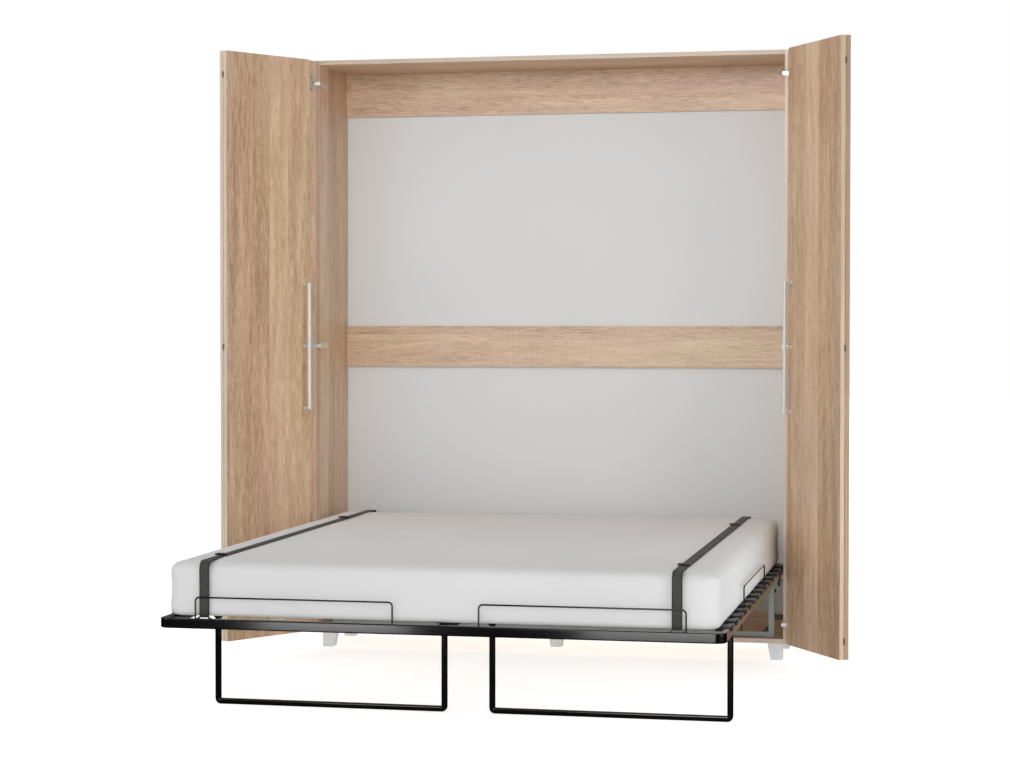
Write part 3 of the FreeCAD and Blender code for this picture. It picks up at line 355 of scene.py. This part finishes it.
def oakFinish(name, across, grain, seed, bandColor, tone):
    finish = Finish(name)
    normal = across.cross(grain)
    turn = Matrix((across, grain, normal)).to_euler()
    board = finish.place(rotation=turn, location=(seed * 1.37, seed * 2.11, seed * 0.73))
    split = finish.add("SeparateXYZ", {"Vector": board})
    staveTone, stave = oakStaves(finish, board, split.outputs["X"])

    figure = finish.noise(oak["figure"], 2.0, 0.45, 0.25, vector=stave)
    rings = finish.math("PINGPONG", finish.times(figure, oak["rings"]), 1.0)
    rings = finish.ramp(rings, ((0.0, black), (0.55, (0.6, 0.6, 0.6)), (1.0, white)))
    fibre = finish.noise(oak["fibre"], 4.0, 0.68, 0.5, vector=stave)
    coarse = finish.noise(oak["coarse"], 3.0, 0.55, 0.3, vector=stave)
    pores = finish.noise(oak["pores"], 2.0, 0.6, vector=stave)
    pores = finish.ramp(pores, ((0.60, black), (0.70, white)))

    body = finish.sum(finish.times(fibre, oak["fibreShare"]),
                      finish.times(coarse, 1 - oak["fibreShare"]))
    body = finish.sum(body, finish.times(staveTone, oak["staveShare"]))
    # tone scales the oak's colours; below 1 it is painted shade, not the board's own colour
    toned = [tuple(value * tone for value in oak[key]) for key in ("dark", "mid", "light")]
    color = finish.ramp(body, tuple(zip(oak["toneStops"], toned)))
    hue = finish.noise(oak["hue"], 2.0, vector=board)
    hue = finish.ramp(hue, ((0.42, (0.99, 1.01, 0.97)), (0.60, (0.98, 0.96, 1.02))))
    color = finish.blend(1.0, color, hue, "MULTIPLY")
    ringShare = finish.times(finish.math("SUBTRACT", 1.0, rings), oak["ringShare"])
    color = finish.blend(ringShare, color, oak["dark"])

    saw = oakSawMarks(finish, board, stave, split.outputs["Y"])
    for sign, share, key in ((1.0, "sawLightShare", "light"), (-1.0, "sawDarkShare", "dark")):
        crest = finish.math("MAXIMUM", finish.times(saw, sign), 0.0)
        color = finish.blend(finish.times(crest, oak[share]), color, oak[key])
    color = finish.blend(finish.times(pores, oak["poreShare"]), color, oak["pore"])

    # narrow faces carry the band
    facing = finish.add("TexCoord").outputs["Normal"]
    along = finish.add("VectorMath", {0: facing, 1: tuple(normal)}, operation="DOT_PRODUCT")
    isFace = finish.math("GREATER_THAN", finish.math("ABSOLUTE", along.outputs["Value"]), 0.5)
    bandFibre = finish.noise(oak["bandFibre"], 2.0, vector=board)
    shade = tuple(value * oak["bandShade"] for value in bandColor)
    band = finish.ramp(bandFibre, ((0.35, shade), (0.65, bandColor)))
    finish.set(color=finish.blend(isFace, band, color), specular=0.75, coat=0.2,
               coatRoughness=0.38)
    finish.roughBy(fibre, *oak["roughness"])
    relief = finish.math("SUBTRACT", fibre, finish.times(pores, 0.8))
    relief = finish.sum(relief, finish.times(saw, 0.12))
    finish.bump(relief, oak["bumpStrength"], oak["bumpDepth"])
    return finish.material


def dress(nodeName, material):
    node = nodes[nodeName]
    node.data.materials.clear()
    node.data.materials.append(material)


doorTurn = math.radians(120)
leftDoorAcross = Vector((math.cos(doorTurn), -math.sin(doorTurn), 0))
rightDoorAcross = Vector((-math.cos(doorTurn), -math.sin(doorTurn), 0))
oakBoards = (
    # node, direction across the staves, direction of the grain, seed, edge band, tone; a tone
    # below 1 darkens the board's oak as painted shade
    # painted shade: the left side panel's front edge takes the darker brown band, for the shade
    # that the open left door casts on it
    ("side_panel_left", acrossY, upwards, 1, "brown", 1.0),
    ("side_panel_right", acrossY, upwards, 2, "cream", 1.0),
    ("door_leaf_inner_left", leftDoorAcross, upwards, 3, "pale", 1.0),
    ("door_leaf_outer_left", leftDoorAcross, upwards, 4, "pale", 1.0),
    ("door_leaf_inner_right", rightDoorAcross, upwards, 5, "warm", 1.0),
    ("door_leaf_outer_right", rightDoorAcross, upwards, 6, "brown", 1.0),
    ("top_panel", acrossY, acrossX, 7, "sand", 1.0),
    ("bottom_panel", acrossY, acrossX, 8, "cream", 1.0),
    # painted shade: the upper and middle back rails get darker oak, standing in for less light
    # falling on them
    ("back_rail_upper", upwards, acrossX, 9, "cream", 0.95),
    ("back_rail_middle", upwards, acrossX, 10, "cream", 0.86),
    ("back_rail_lower", upwards, acrossX, 11, "cream", 1.0),
)
for nodeName, across, grain, seed, bandName, tone in oakBoards:
    dress(nodeName, oakFinish("oak_" + nodeName, across, grain, seed, edgeBands[bandName],
                              tone))
print("oak boards finished")


# Painted board, steel, plastic and other plain finishes

def backBoardFinish():
    finish = Finish("backBoard")
    cloud = finish.noise(1.2, 2.0)
    grain = finish.noise(420, 2.0, 0.6)
    color = finish.ramp(cloud, ((0.3, tint(221, 223, 225)), (0.7, tint(226, 228, 229))))
    finish.set(color=color, specular=0.3)
    finish.roughBy(grain, 0.55, 0.68)
    finish.bump(grain, 0.08, 0.0004)
    return finish.material


def paintedSteel(name, color, roughness, coat, fleck=0.15):
    finish = Finish(name)
    peel = finish.noise(260, 2.0)
    wear = finish.noise(9, 3.0, 0.6)
    shade = tuple(min(1.0, value * (1 + fleck) + 0.004) for value in color)
    finish.set(color=finish.blend(wear, color, shade), coat=coat, coatRoughness=0.08)
    finish.roughBy(wear, roughness * 0.85, roughness * 1.2)
    finish.bump(peel, 0.06, 0.0003)
    return finish.material


def brightMetal(name, color, roughness, brushAlong=None, metallic=1.0):
    finish = Finish(name)
    scale = 700
    if brushAlong is not None:
        scale = tuple(12 if abs(part) > 0.5 else 1400 for part in brushAlong)
    streak = finish.noise(scale, 2.0, 0.6)
    cloud = finish.noise(30, 2.0)
    shade = tuple(value * 0.86 for value in color)
    finish.set(color=finish.blend(cloud, color, shade), metallic=metallic)
    finish.roughBy(streak, roughness * 0.8, roughness * 1.3)
    finish.bump(streak, 0.05, 0.0002)
    return finish.material


def moulded(name, color, roughness):
    finish = Finish(name)
    grain = finish.noise(900, 2.0, 0.6)
    cloud = finish.noise(14, 2.0)
    shade = tuple(value * 0.9 for value in color)
    finish.set(color=finish.blend(cloud, color, shade), specular=0.5)
    finish.roughBy(grain, roughness * 0.9, roughness * 1.15)
    finish.bump(grain, 0.10, 0.0003)
    return finish.material


slat = {
    "fibre": (4.5, 220, 220),     # noise scales; the grain runs along X
    "fibreShare": 0.6,
    "broad": (0.9, 30, 30),
    "tones": (tint(176, 140, 100), tint(205, 172, 130), tint(222, 194, 156)),
    "toneStops": (0.35, 0.55, 0.75),
}


def slatWood():
    finish = Finish("slatPly")
    fibre = finish.noise(slat["fibre"], 4.0, 0.6, 0.3)
    broad = finish.noise(slat["broad"], 2.0)
    body = finish.sum(finish.times(fibre, slat["fibreShare"]),
                      finish.times(broad, 1 - slat["fibreShare"]))
    color = finish.ramp(body, tuple(zip(slat["toneStops"], slat["tones"])))
    finish.set(color=color, coat=0.15, coatRoughness=0.3, roughness=0.45)
    finish.bump(fibre, 0.15, 0.0004)
    return finish.material


finishes = {
    "backBoard": backBoardFinish(),
    "blackGloss": paintedSteel("blackGloss", tint(9, 9, 10), 0.12, 0.0),
    "blackSatin": paintedSteel("blackSatin", tint(24, 24, 25), 0.38, 0.15),
    "greyPaint": paintedSteel("greyPaint", tint(166, 175, 173), 0.42, 0.1, fleck=0.06),
    "zinc": brightMetal("zinc", tint(188, 190, 192), 0.36, metallic=0.5),
    "bronze": paintedSteel("bronze", tint(112, 88, 66), 0.4, 0.0),
    "nickel": brightMetal("nickel", tint(238, 238, 240), 0.34, metallic=0.8),
    "satinBar": brightMetal("satinBar", tint(228, 230, 227), 0.5, upwards, 0.35),
    "pistonChrome": brightMetal("pistonChrome", tint(225, 226, 228), 0.08),
    "footPlastic": moulded("footPlastic", tint(243, 244, 246), 0.55),
    "blackPlastic": moulded("blackPlastic", tint(20, 20, 20), 0.42),
    "slatPly": slatWood(),
}
plainNodes = {
    "backBoard": ("back_panel_upper", "back_panel_lower"),
    "blackGloss": ("front_rail", "side_rail_left", "side_rail_right", "head_rail", "centre_beam",
                   "leg_cross_tube", "strut_cross_tube", "retainers_front", "retainers_side",
                   "leg_hoop_left", "leg_hoop_right"),
    "blackSatin": ("stand_gussets", "stand_brackets", "stand_bolts", "pivot_plates",
                   "strut_foot_brackets", "strut_head_lugs", "strut_cylinder_left",
                   "strut_cylinder_right", "leg_brackets", "strap_loops"),
    "greyPaint": ("stand_post_left", "stand_post_right", "stand_cross_tube"),
    "zinc": ("pivot_pins", "wall_brackets"),
    "nickel": ("hinge_arms", "hinge_cups_left", "hinge_cups_right"),
    "bronze": ("fold_hinges_left", "fold_hinges_right", "fold_plates_left",
               "fold_plates_right"),
    "satinBar": ("handle_left", "handle_right"),
    "pistonChrome": ("strut_rod_left", "strut_rod_right"),
    "footPlastic": ("feet",),
    "blackPlastic": ("slat_holders_side", "slat_holders_centre"),
    "slatPly": ("slats_left", "slats_right"),
}
for finishName, nodeNames in plainNodes.items():
    for nodeName in nodeNames:
        dress(nodeName, finishes[finishName])
print("metal, plastic and board finished")


# Helpers for new pieces

def addPiece(name, shape, material, smooth=True):
    mesh = bpy.data.meshes.new(name)
    shape.to_mesh(mesh)
    shape.free()
    for polygon in mesh.polygons:
        polygon.use_smooth = smooth
    mesh.materials.append(material)
    piece = bpy.data.objects.new(name, mesh)
    bpy.context.scene.collection.objects.link(piece)
    return piece


def settle(piece, body, slot, *replaced):
    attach(piece, body)
    if replaced:
        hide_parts(*replaced)


def addBox(shape, low, high):
    made = bmesh.ops.create_cube(shape, size=1.0)["verts"]
    bmesh.ops.scale(shape, vec=high - low, verts=made)
    bmesh.ops.translate(shape, vec=(low + high) / 2, verts=made)
    return made


def roundEdges(shape, edges, radius, segments):
    return bmesh.ops.bevel(shape, geom=edges, offset=radius, segments=segments, profile=0.5,
                           affect="EDGES", material=-1)["verts"]


def spinOutline(shape, place, along, outward, outline, segments):
    # a turned shape; its outline gives distances out from the axis and up along it
    points = [shape.verts.new(place + outward * out + along * up) for out, up in outline]
    rims = [shape.edges.new(ends) for ends in zip(points, points[1:])]
    bmesh.ops.spin(shape, geom=points + rims, cent=place, axis=along, angle=math.tau,
                   steps=segments, use_merge=True, use_duplicate=False)


def closeShape(shape):
    bmesh.ops.remove_doubles(shape, verts=shape.verts, dist=1e-6)
    bmesh.ops.recalc_face_normals(shape, faces=shape.faces)


def smoothStep(value, low, high):
    # 0 below low, 1 above high and a smooth rise between them
    share = min(1.0, max(0.0, (value - low) / (high - low)))
    return share * share * (3 - 2 * share)


# Mattress: a crowned foam block with drawn-in sides, pressed in under the straps

mattress = {
    "corner": 0.042,          # plan radius
    "edge": 0.030,            # rounding of the upper edges
    "soleEdge": 0.010,
    "cell": 0.020,            # mesh spacing
    "slack": 0.003,           # how much smaller the cover starts
    "swell": 0.0035,          # furthest that the simulation moves a point
    "pressure": 4.0,
    "frames": 20,
    "quality": 5,
    "mass": 0.4,
    "stiffness": 40,          # against stretching and squeezing
    "shear": 20,
    "bending": 2,
    "crown": 0.004,
    "drawIn": 0.004,
    "sideShare": 0.1,         # outer share of each half that is drawn in
    "rimShare": 0.07,         # outer share of each half where a strap presses most
    "strapDent": 0.0035,
    "flatDent": 0.35,         # share of the dent away from the rim
    "strapX": 0.708,
    "strapHalf": 0.015,
    "ripple": 0.0009,
    "ripplesPerMetre": 5.0,
    "dentFade": (-0.00525, 0.02975),    # from a strap's edge, in metres
    # shares of the height between which each of these grows
    "crownRise": (0.5, 1.0),
    "rimRise": (0.52, 0.92),
    "rippleRise": (1 / 3, 2 / 3),
    "dentRise": (0.4, 0.9),
    "dentFrom": 0.3,
    "coverTones": (tint(229, 229, 229), tint(233, 233, 233)),
    "knitTone": tint(216, 216, 215),
    "knitShare": 0.16,
    "bumpStrength": 0.45,
    "bumpDepth": 0.0006,
}


def mattressCover():
    finish = Finish("mattressCover")
    knitA = finish.noise((900, 140, 900), 2.0, 0.6)
    knitB = finish.noise((140, 900, 140), 2.0, 0.6)
    slub = finish.noise((60, 60, 14), 3.0, 0.6)
    cloud = finish.noise(3, 2.0)
    weave = finish.sum(finish.times(knitA, 0.5), finish.times(knitB, 0.5))
    color = finish.ramp(cloud, tuple(zip((0.3, 0.7), mattress["coverTones"])))
    color = finish.blend(finish.times(weave, mattress["knitShare"]), color,
                         mattress["knitTone"])
    finish.set(color=color, roughness=0.85, specular=0.2, sheen=0.15, sheenRoughness=0.4)
    finish.bump(finish.sum(weave, finish.times(slub, 0.5)), mattress["bumpStrength"],
                mattress["bumpDepth"])
    return finish.material


def roundedBlock(low, high, corner, edge, soleEdge, segments=6):
    shape = bmesh.new()
    addBox(shape, low, high)
    upright = [e for e in shape.edges
               if abs(e.verts[0].co.z - e.verts[1].co.z) > (high.z - low.z) / 2]
    roundEdges(shape, upright, corner, segments)
    for level, radius in ((high.z, edge), (low.z, soleEdge)):
        rim = [e for e in shape.edges
               if all(abs(v.co.z - level) < 1e-6 for v in e.verts)
               and len([f for f in e.link_faces if abs(f.normal.z) > 0.9]) == 1]
        roundEdges(shape, rim, radius, segments)
    return shape


def remeshEvenly(piece, cell):
    net = piece.modifiers.new("evenCells", "REMESH")
    net.mode = "VOXEL"
    net.voxel_size = cell
    net.use_smooth_shade = True
    graph = bpy.context.evaluated_depsgraph_get()
    mesh = bpy.data.meshes.new_from_object(piece.evaluated_get(graph))
    piece.modifiers.clear()
    piece.data = mesh


def swellCover(piece, setup, restsBelow):
    # air pressure fills the cover; its sole stays on the slats
    held = piece.vertex_groups.new(name="sole")
    held.add([v.index for v in piece.data.vertices if v.co.z < restsBelow], 1.0, "REPLACE")
    start = [v.co.copy() for v in piece.data.vertices]
    cloth = piece.modifiers.new("cover", "CLOTH")
    settings = cloth.settings
    settings.quality = setup["quality"]
    settings.mass = setup["mass"]
    settings.tension_stiffness = setup["stiffness"]
    settings.compression_stiffness = setup["stiffness"]
    settings.shear_stiffness = setup["shear"]
    settings.bending_stiffness = setup["bending"]
    settings.use_pressure = True
    settings.uniform_pressure_force = setup["pressure"]
    settings.effector_weights.gravity = 0
    settings.vertex_group_mass = held.name
    cloth.point_cache.frame_start = 1
    cloth.point_cache.frame_end = setup["frames"]
    scene = bpy.context.scene
    for frameNumber in range(1, setup["frames"] + 1):
        scene.frame_set(frameNumber)
    graph = bpy.context.evaluated_depsgraph_get()
    swollen = [v.co.copy() for v in piece.evaluated_get(graph).data.vertices]
    piece.modifiers.clear()
    piece.vertex_groups.clear()
    scene.frame_set(1)
    for vertex, first, last in zip(piece.data.vertices, start, swollen):
        step = last - first
        if step.length > setup["swell"]:
            step *= setup["swell"] / step.length
        vertex.co = first + step


def beyond(share, reach):
    # 0 inside, growing to 1 or -1 over the outer "reach" of a half
    return math.copysign(smoothStep(abs(share), 1 - reach, 1), share)


def dentAndCrown(piece, low, high, setup):
    middle = (low + high) / 2
    half = (high - low) / 2
    for vertex in piece.data.vertices:
        place = vertex.co
        acrossShare = (place.x - middle.x) / half.x
        alongShare = (place.y - middle.y) / half.y
        heightShare = (place.z - low.z) / (high.z - low.z)
        crown = (1 - acrossShare ** 2) * (1 - alongShare ** 2)
        crown *= smoothStep(heightShare, *setup["crownRise"])
        drawn = math.sin(math.pi * smoothStep(heightShare, 0, 1)) ** 2 * setup["drawIn"]
        outward = Vector((beyond(acrossShare, setup["sideShare"]),
                          beyond(alongShare, setup["sideShare"]), 0))
        beside = abs(abs(place.x) - setup["strapX"]) - setup["strapHalf"]
        pressed = 1 - smoothStep(beside, *setup["dentFade"])
        rim = abs(beyond(alongShare, setup["rimShare"]))
        rim *= smoothStep(heightShare, *setup["rimRise"])
        dent = setup["flatDent"] + (1 - setup["flatDent"]) * rim
        dent *= setup["strapDent"] * pressed
        ripple = noise.noise(place * setup["ripplesPerMetre"]) * setup["ripple"]
        place.z += crown * setup["crown"]
        place.z += ripple * smoothStep(heightShare, *setup["rippleRise"])
        place -= outward * (drawn + ripple)
        if heightShare > setup["dentFrom"]:
            place.z -= dent * smoothStep(heightShare, *setup["dentRise"])
            place.y -= outward.y * dent
        for axis in range(3):
            place[axis] = min(high[axis], max(low[axis], place[axis]))


def makeMattress():
    low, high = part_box("mattress")
    slack = Vector((mattress["slack"], mattress["slack"], 0))
    shape = roundedBlock(low + slack, high - slack - upwards * mattress["slack"],
                         mattress["corner"], mattress["edge"], mattress["soleEdge"])
    material = mattressCover()
    cover = addPiece("mattressFoam", shape, material)
    remeshEvenly(cover, mattress["cell"])
    swellCover(cover, mattress, low.z + mattress["soleEdge"])
    dentAndCrown(cover, low, high, mattress)
    cover.data.materials.clear()
    cover.data.materials.append(material)
    surface = cover.modifiers.new("soften", "SUBSURF")
    surface.levels = 1
    surface.render_levels = 1
    settle(cover, "bed", "mattress_cover", "mattress")


makeMattress()
print("mattress made")


# Straps: woven bands over the mattress, each from the foot-end rail to the head-end rail

strap = {
    "width": 0.030,
    "thickness": 0.002,
    "bend": 0.026,            # radius over the mattress's edges
    "sink": 0.0018,           # into the mattress, where the foam gives way
    "cellsAcross": 6,
    "cellsUp": 4,             # on each hanging end
    "cellsAlong": 60,
    "cellsRound": 8,          # in each bend
    "ribsPerMetre": 420.0,
    "yarnsPerMetre": 300.0,
    "weaveShare": 0.2,        # of the shade; the rest is mottle
    "tones": (tint(44, 43, 41), tint(72, 71, 68), tint(106, 105, 101)),
    "selvedge": 0.0035,
    "selvedgeShare": 0.8,
    "selvedgeTone": tint(34, 34, 33),
    "bumpStrength": 0.5,
    "bumpDepth": 0.0005,
}


def webbing():
    finish = Finish("webbing")
    split = finish.add("SeparateXYZ", {"Vector": finish.add("TexCoord").outputs["Object"]})
    across = split.outputs["X"]
    along = finish.sum(split.outputs["Y"], split.outputs["Z"])
    ribs = finish.math("SINE", finish.times(along, strap["ribsPerMetre"] * math.tau))
    yarns = finish.math("SINE", finish.times(across, strap["yarnsPerMetre"] * math.tau))
    weave = finish.times(ribs, yarns)
    middle = finish.math("SUBTRACT", finish.math("ABSOLUTE", across), mattress["strapX"])
    selvedge = finish.math("GREATER_THAN", finish.math("ABSOLUTE", middle),
                           strap["width"] / 2 - strap["selvedge"])
    mottle = finish.noise(500, 3.0, 0.7)
    shade = finish.sum(finish.times(weave, strap["weaveShare"]),
                       finish.times(mottle, 1 - strap["weaveShare"]))
    color = finish.ramp(shade, tuple(zip((0.2, 0.5, 0.8), strap["tones"])))
    color = finish.blend(finish.times(selvedge, strap["selvedgeShare"]), color,
                         strap["selvedgeTone"])
    finish.set(color=color, roughness=0.8, sheen=0.1)
    finish.bump(finish.sum(weave, mottle), strap["bumpStrength"], strap["bumpDepth"])
    return finish.material


def makeStrap(nodeName, side, material):
    low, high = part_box(nodeName)
    half = strap["thickness"] / 2
    bend = strap["bend"]
    top = high.z - half - strap["sink"]
    front = low.y + half
    rear = high.y - half
    count = strap["cellsAcross"]
    shape = bmesh.new()
    row = [shape.verts.new((low.x + (high.x - low.x) * step / count, front, low.z))
           for step in range(count + 1)]
    edges = [shape.edges.new(ends) for ends in zip(row, row[1:])]

    def advance(offset, steps):
        nonlocal edges
        for _ in range(steps):
            made = bmesh.ops.extrude_edge_only(shape, edges=edges)["geom"]
            edges = [part for part in made if isinstance(part, bmesh.types.BMEdge)]
            moved = [part for part in made if isinstance(part, bmesh.types.BMVert)]
            bmesh.ops.translate(shape, vec=offset / steps, verts=moved)

    def turnOver(center):
        nonlocal edges
        made = bmesh.ops.spin(shape, geom=edges, cent=center, axis=acrossX,
                              angle=math.radians(-90), steps=strap["cellsRound"],
                              use_duplicate=False)
        edges = [part for part in made["geom_last"] if isinstance(part, bmesh.types.BMEdge)]

    rise = upwards * (top - bend - low.z)
    advance(rise, strap["cellsUp"])
    turnOver(Vector((0, front + bend, top - bend)))
    advance(acrossY * (rear - front - 2 * bend), strap["cellsAlong"])
    turnOver(Vector((0, rear - bend, top - bend)))
    advance(-rise, strap["cellsUp"])
    band = addPiece("strap" + side, shape, material)
    wall = band.modifiers.new("thickness", "SOLIDIFY")
    wall.thickness = strap["thickness"]
    wall.offset = 0
    settle(band, "bed", "webbing", nodeName)


strapWeb = webbing()
makeStrap("strap_left", "Left", strapWeb)
makeStrap("strap_right", "Right", strapWeb)
print("straps made")


# Buckles: a stamped base with cheeks, a ridged lever and its pin, on each strap

buckle = {
    "width": 0.040,
    "length": 0.036,
    "baseSteel": 0.0012,
    "cheekSteel": 0.0015,
    "cheekHeight": 0.0046,
    "cheekFront": 0.75,       # share of half the length
    "rear": 0.62,             # the same, for the cheeks and the lever
    "leverLift": 0.0050,      # top of its raised end
    "leverSteel": 0.0016,
    "leverGap": 0.0004,       # over the base
    "leverBeside": 0.0006,    # to each cheek
    "pinRadius": 0.0013,
    "pinInset": 0.0004,
    "pinDrop": 0.0021,        # under the cheeks' top
    "pinPlace": 0.25,         # share of half the length
    "ridges": 5,
    "ridgeRadius": 0.00055,
    "ridgeSpacing": 0.0024,
    "ridgeStart": 0.0035,
    "ridgeInset": 0.003,
}


def addBar(shape, first, last, radius, segments=12):
    # a round bar with eased ends, turned from the outline of half its section
    along = (last - first).normalized()
    outward = along.orthogonal().normalized()
    length = (last - first).length
    ease = radius * 0.25
    outline = ((0, 0), (radius - ease, 0), (radius, ease), (radius, length - ease),
               (radius - ease, length), (0, length))
    spinOutline(shape, first, along, outward, outline, segments)


def addEasedBox(shape, low, high, edge, segments=2):
    made = addBox(shape, low, high)
    rims = list({e for v in made for e in v.link_edges})
    return roundEdges(shape, rims, edge, segments)


def addLever(shape, center, half):
    steel = buckle["leverSteel"]
    inset = buckle["cheekSteel"] + buckle["leverBeside"]
    low = center + Vector((inset - half.x, -half.y, buckle["baseSteel"] + buckle["leverGap"]))
    high = Vector((center.x + half.x - inset, center.y + half.y * buckle["rear"],
                   low.z + steel))
    lever = addEasedBox(shape, low, high, steel * 0.35, 3)
    slope = (buckle["leverLift"] - (high.z - center.z)) / (high.y - low.y)
    for vertex in lever:
        vertex.co.z += (vertex.co.y - low.y) * slope
    for index in range(buckle["ridges"]):
        run = buckle["ridgeStart"] + index * buckle["ridgeSpacing"]
        level = low.z + steel + run * slope
        first = Vector((low.x + buckle["ridgeInset"], low.y + run, level))
        last = Vector((high.x - buckle["ridgeInset"], low.y + run, level))
        addBar(shape, first, last, buckle["ridgeRadius"], 8)


def addBuckle(shape, center):
    half = Vector((buckle["width"] / 2, buckle["length"] / 2, 0))
    cheek = buckle["cheekSteel"]
    base = buckle["baseSteel"]
    addEasedBox(shape, center - half, center + half + upwards * base, base * 0.3)
    for x in (center.x - half.x, center.x + half.x - cheek):
        low = Vector((x, center.y - half.y * buckle["cheekFront"], center.z))
        high = Vector((x + cheek, center.y + half.y * buckle["rear"],
                       center.z + buckle["cheekHeight"]))
        addEasedBox(shape, low, high, cheek * 0.4)
    reach = acrossX * (half.x - buckle["pinInset"])
    pin = center + upwards * (buckle["cheekHeight"] - buckle["pinDrop"])
    pin += acrossY * half.y * buckle["pinPlace"]
    addBar(shape, pin - reach, pin + reach, buckle["pinRadius"])
    addLever(shape, center, half)


def makeBuckles():
    low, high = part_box("strap_buckles")
    shape = bmesh.new()
    for side in (-1, 1):
        for y in (low.y + buckle["length"] / 2, high.y - buckle["length"] / 2):
            addBuckle(shape, Vector((side * mattress["strapX"], y, low.z)))
    closeShape(shape)
    piece = addPiece("strapBuckles", shape, finishes["blackSatin"], False)
    settle(piece, "bed", "black_plastic", "strap_buckles")


makeBuckles()
print("buckles made")


# Screws and rivets: small turned heads, most with a recess, on what they hold

frontEdge = 0.7025                # the cabinet's front edge in this frame
doorAxis = Vector((-0.8755, frontEdge - 0.010, 0))
hingeLevels = (0.131, 1.123, 2.094)
screw = {
    "height": 0.0012,
    "segments": 20,
    "pairHalf": 0.020,            # half the distance between two on a bracket
    "cupHalf": 0.022,             # the same on a hinge cup
    # outlines from the middle outwards, in shares of the radius and the height
    "recessed": ((0, 0.1), (0.336, 0.15), (0.42, 0.95)),
    "domed": ((0, 1.6), (0.5, 1.4)),
    "rim": ((0.75, 0.85), (0.95, 0.45), (1, 0), (1, -0.1)),
}
screwRadius = {
    "hingeArm": 0.0030,
    "standBracket": 0.0042,
    "wallBracket": 0.0052,
    "strapLoop": 0.0024,
    "legPin": 0.0060,
    "hingeCup": 0.0034,
}
screwPlace = {
    # on the right-hand side
    "hingeArm": (0.856, frontEdge + 0.096),
    "standBracket": (0.855, frontEdge + 0.064, 0.152),
    "wallBracket": (0.600, frontEdge + 0.383, 2.1825),
    "strapLoop": (0.0065, 0.330),          # in from the loop's end, and height
    "legPin": (-0.6415, 0.283),            # along the bed, and height
    "legBrackets": (0.076, 0.813),
    "legPinEnd": 0.0124,                   # from the bracket's middle
    "hingeCup": (-0.8505, frontEdge),      # left-hand door, shut
}


def addScrew(shape, place, outward, kind, head="recessed"):
    radius = screwRadius[kind]
    outline = [(radius * out, screw["height"] * up) for out, up in screw[head] + screw["rim"]]
    spinOutline(shape, place, outward, outward.orthogonal().normalized(), outline,
                screw["segments"])


def turnedOpen(place, side):
    # from the shut left-hand door to the open door on that side
    turned = Matrix.Rotation(-doorTurn, 3, "Z") @ (place - doorAxis) + doorAxis
    return Vector((-side * turned.x, turned.y, turned.z))


def cabinetScrews():
    shape = bmesh.new()
    for side in (-1, 1):
        inward = acrossX * -side
        x, y = screwPlace["hingeArm"]
        for level in hingeLevels:
            addScrew(shape, Vector((side * x, y, level)), inward, "hingeArm")
        x, y, z = screwPlace["standBracket"]
        addScrew(shape, Vector((side * x, y, z)), inward, "standBracket")
        x, y, z = screwPlace["wallBracket"]
        for offset in (-screw["pairHalf"], screw["pairHalf"]):
            addScrew(shape, Vector((side * x + offset, y, z)), upwards, "wallBracket")
    closeShape(shape)
    piece = addPiece("cabinetScrews", shape, finishes["zinc"])
    settle(piece, "cabinet", "zinc_steel")


def bedScrews():
    shape = bmesh.new()
    low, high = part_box("strap_loops")
    inset, loopTop = screwPlace["strapLoop"]
    pinY, pinZ = screwPlace["legPin"]
    for side in (-1, 1):
        for y in (low.y + inset, high.y - inset):
            for offset in (-screw["pairHalf"], screw["pairHalf"]):
                addScrew(shape, Vector((side * mattress["strapX"] + offset, y, loopTop)),
                         upwards, "strapLoop")
        for x in screwPlace["legBrackets"]:
            for end in (-1, 1):
                place = Vector((side * x + end * screwPlace["legPinEnd"], pinY, pinZ))
                addScrew(shape, place, acrossX * end, "legPin", "domed")
    closeShape(shape)
    piece = addPiece("bedScrews", shape, finishes["zinc"])
    settle(piece, "bed", "zinc_steel")


def doorScrews(side, sideName):
    shape = bmesh.new()
    outward = turnedOpen(doorAxis + acrossY, side) - turnedOpen(doorAxis, side)
    x, y = screwPlace["hingeCup"]
    for level in hingeLevels:
        for step in (-screw["cupHalf"], screw["cupHalf"]):
            place = turnedOpen(Vector((x, y, level + step)), side)
            addScrew(shape, place, outward.normalized(), "hingeCup")
    closeShape(shape)
    piece = addPiece("doorScrews" + sideName.capitalize(), shape, finishes["zinc"])
    settle(piece, "door_outer_" + sideName, "chrome")


cabinetScrews()
bedScrews()
doorScrews(-1, "left")
doorScrews(1, "right")
print("screws made")
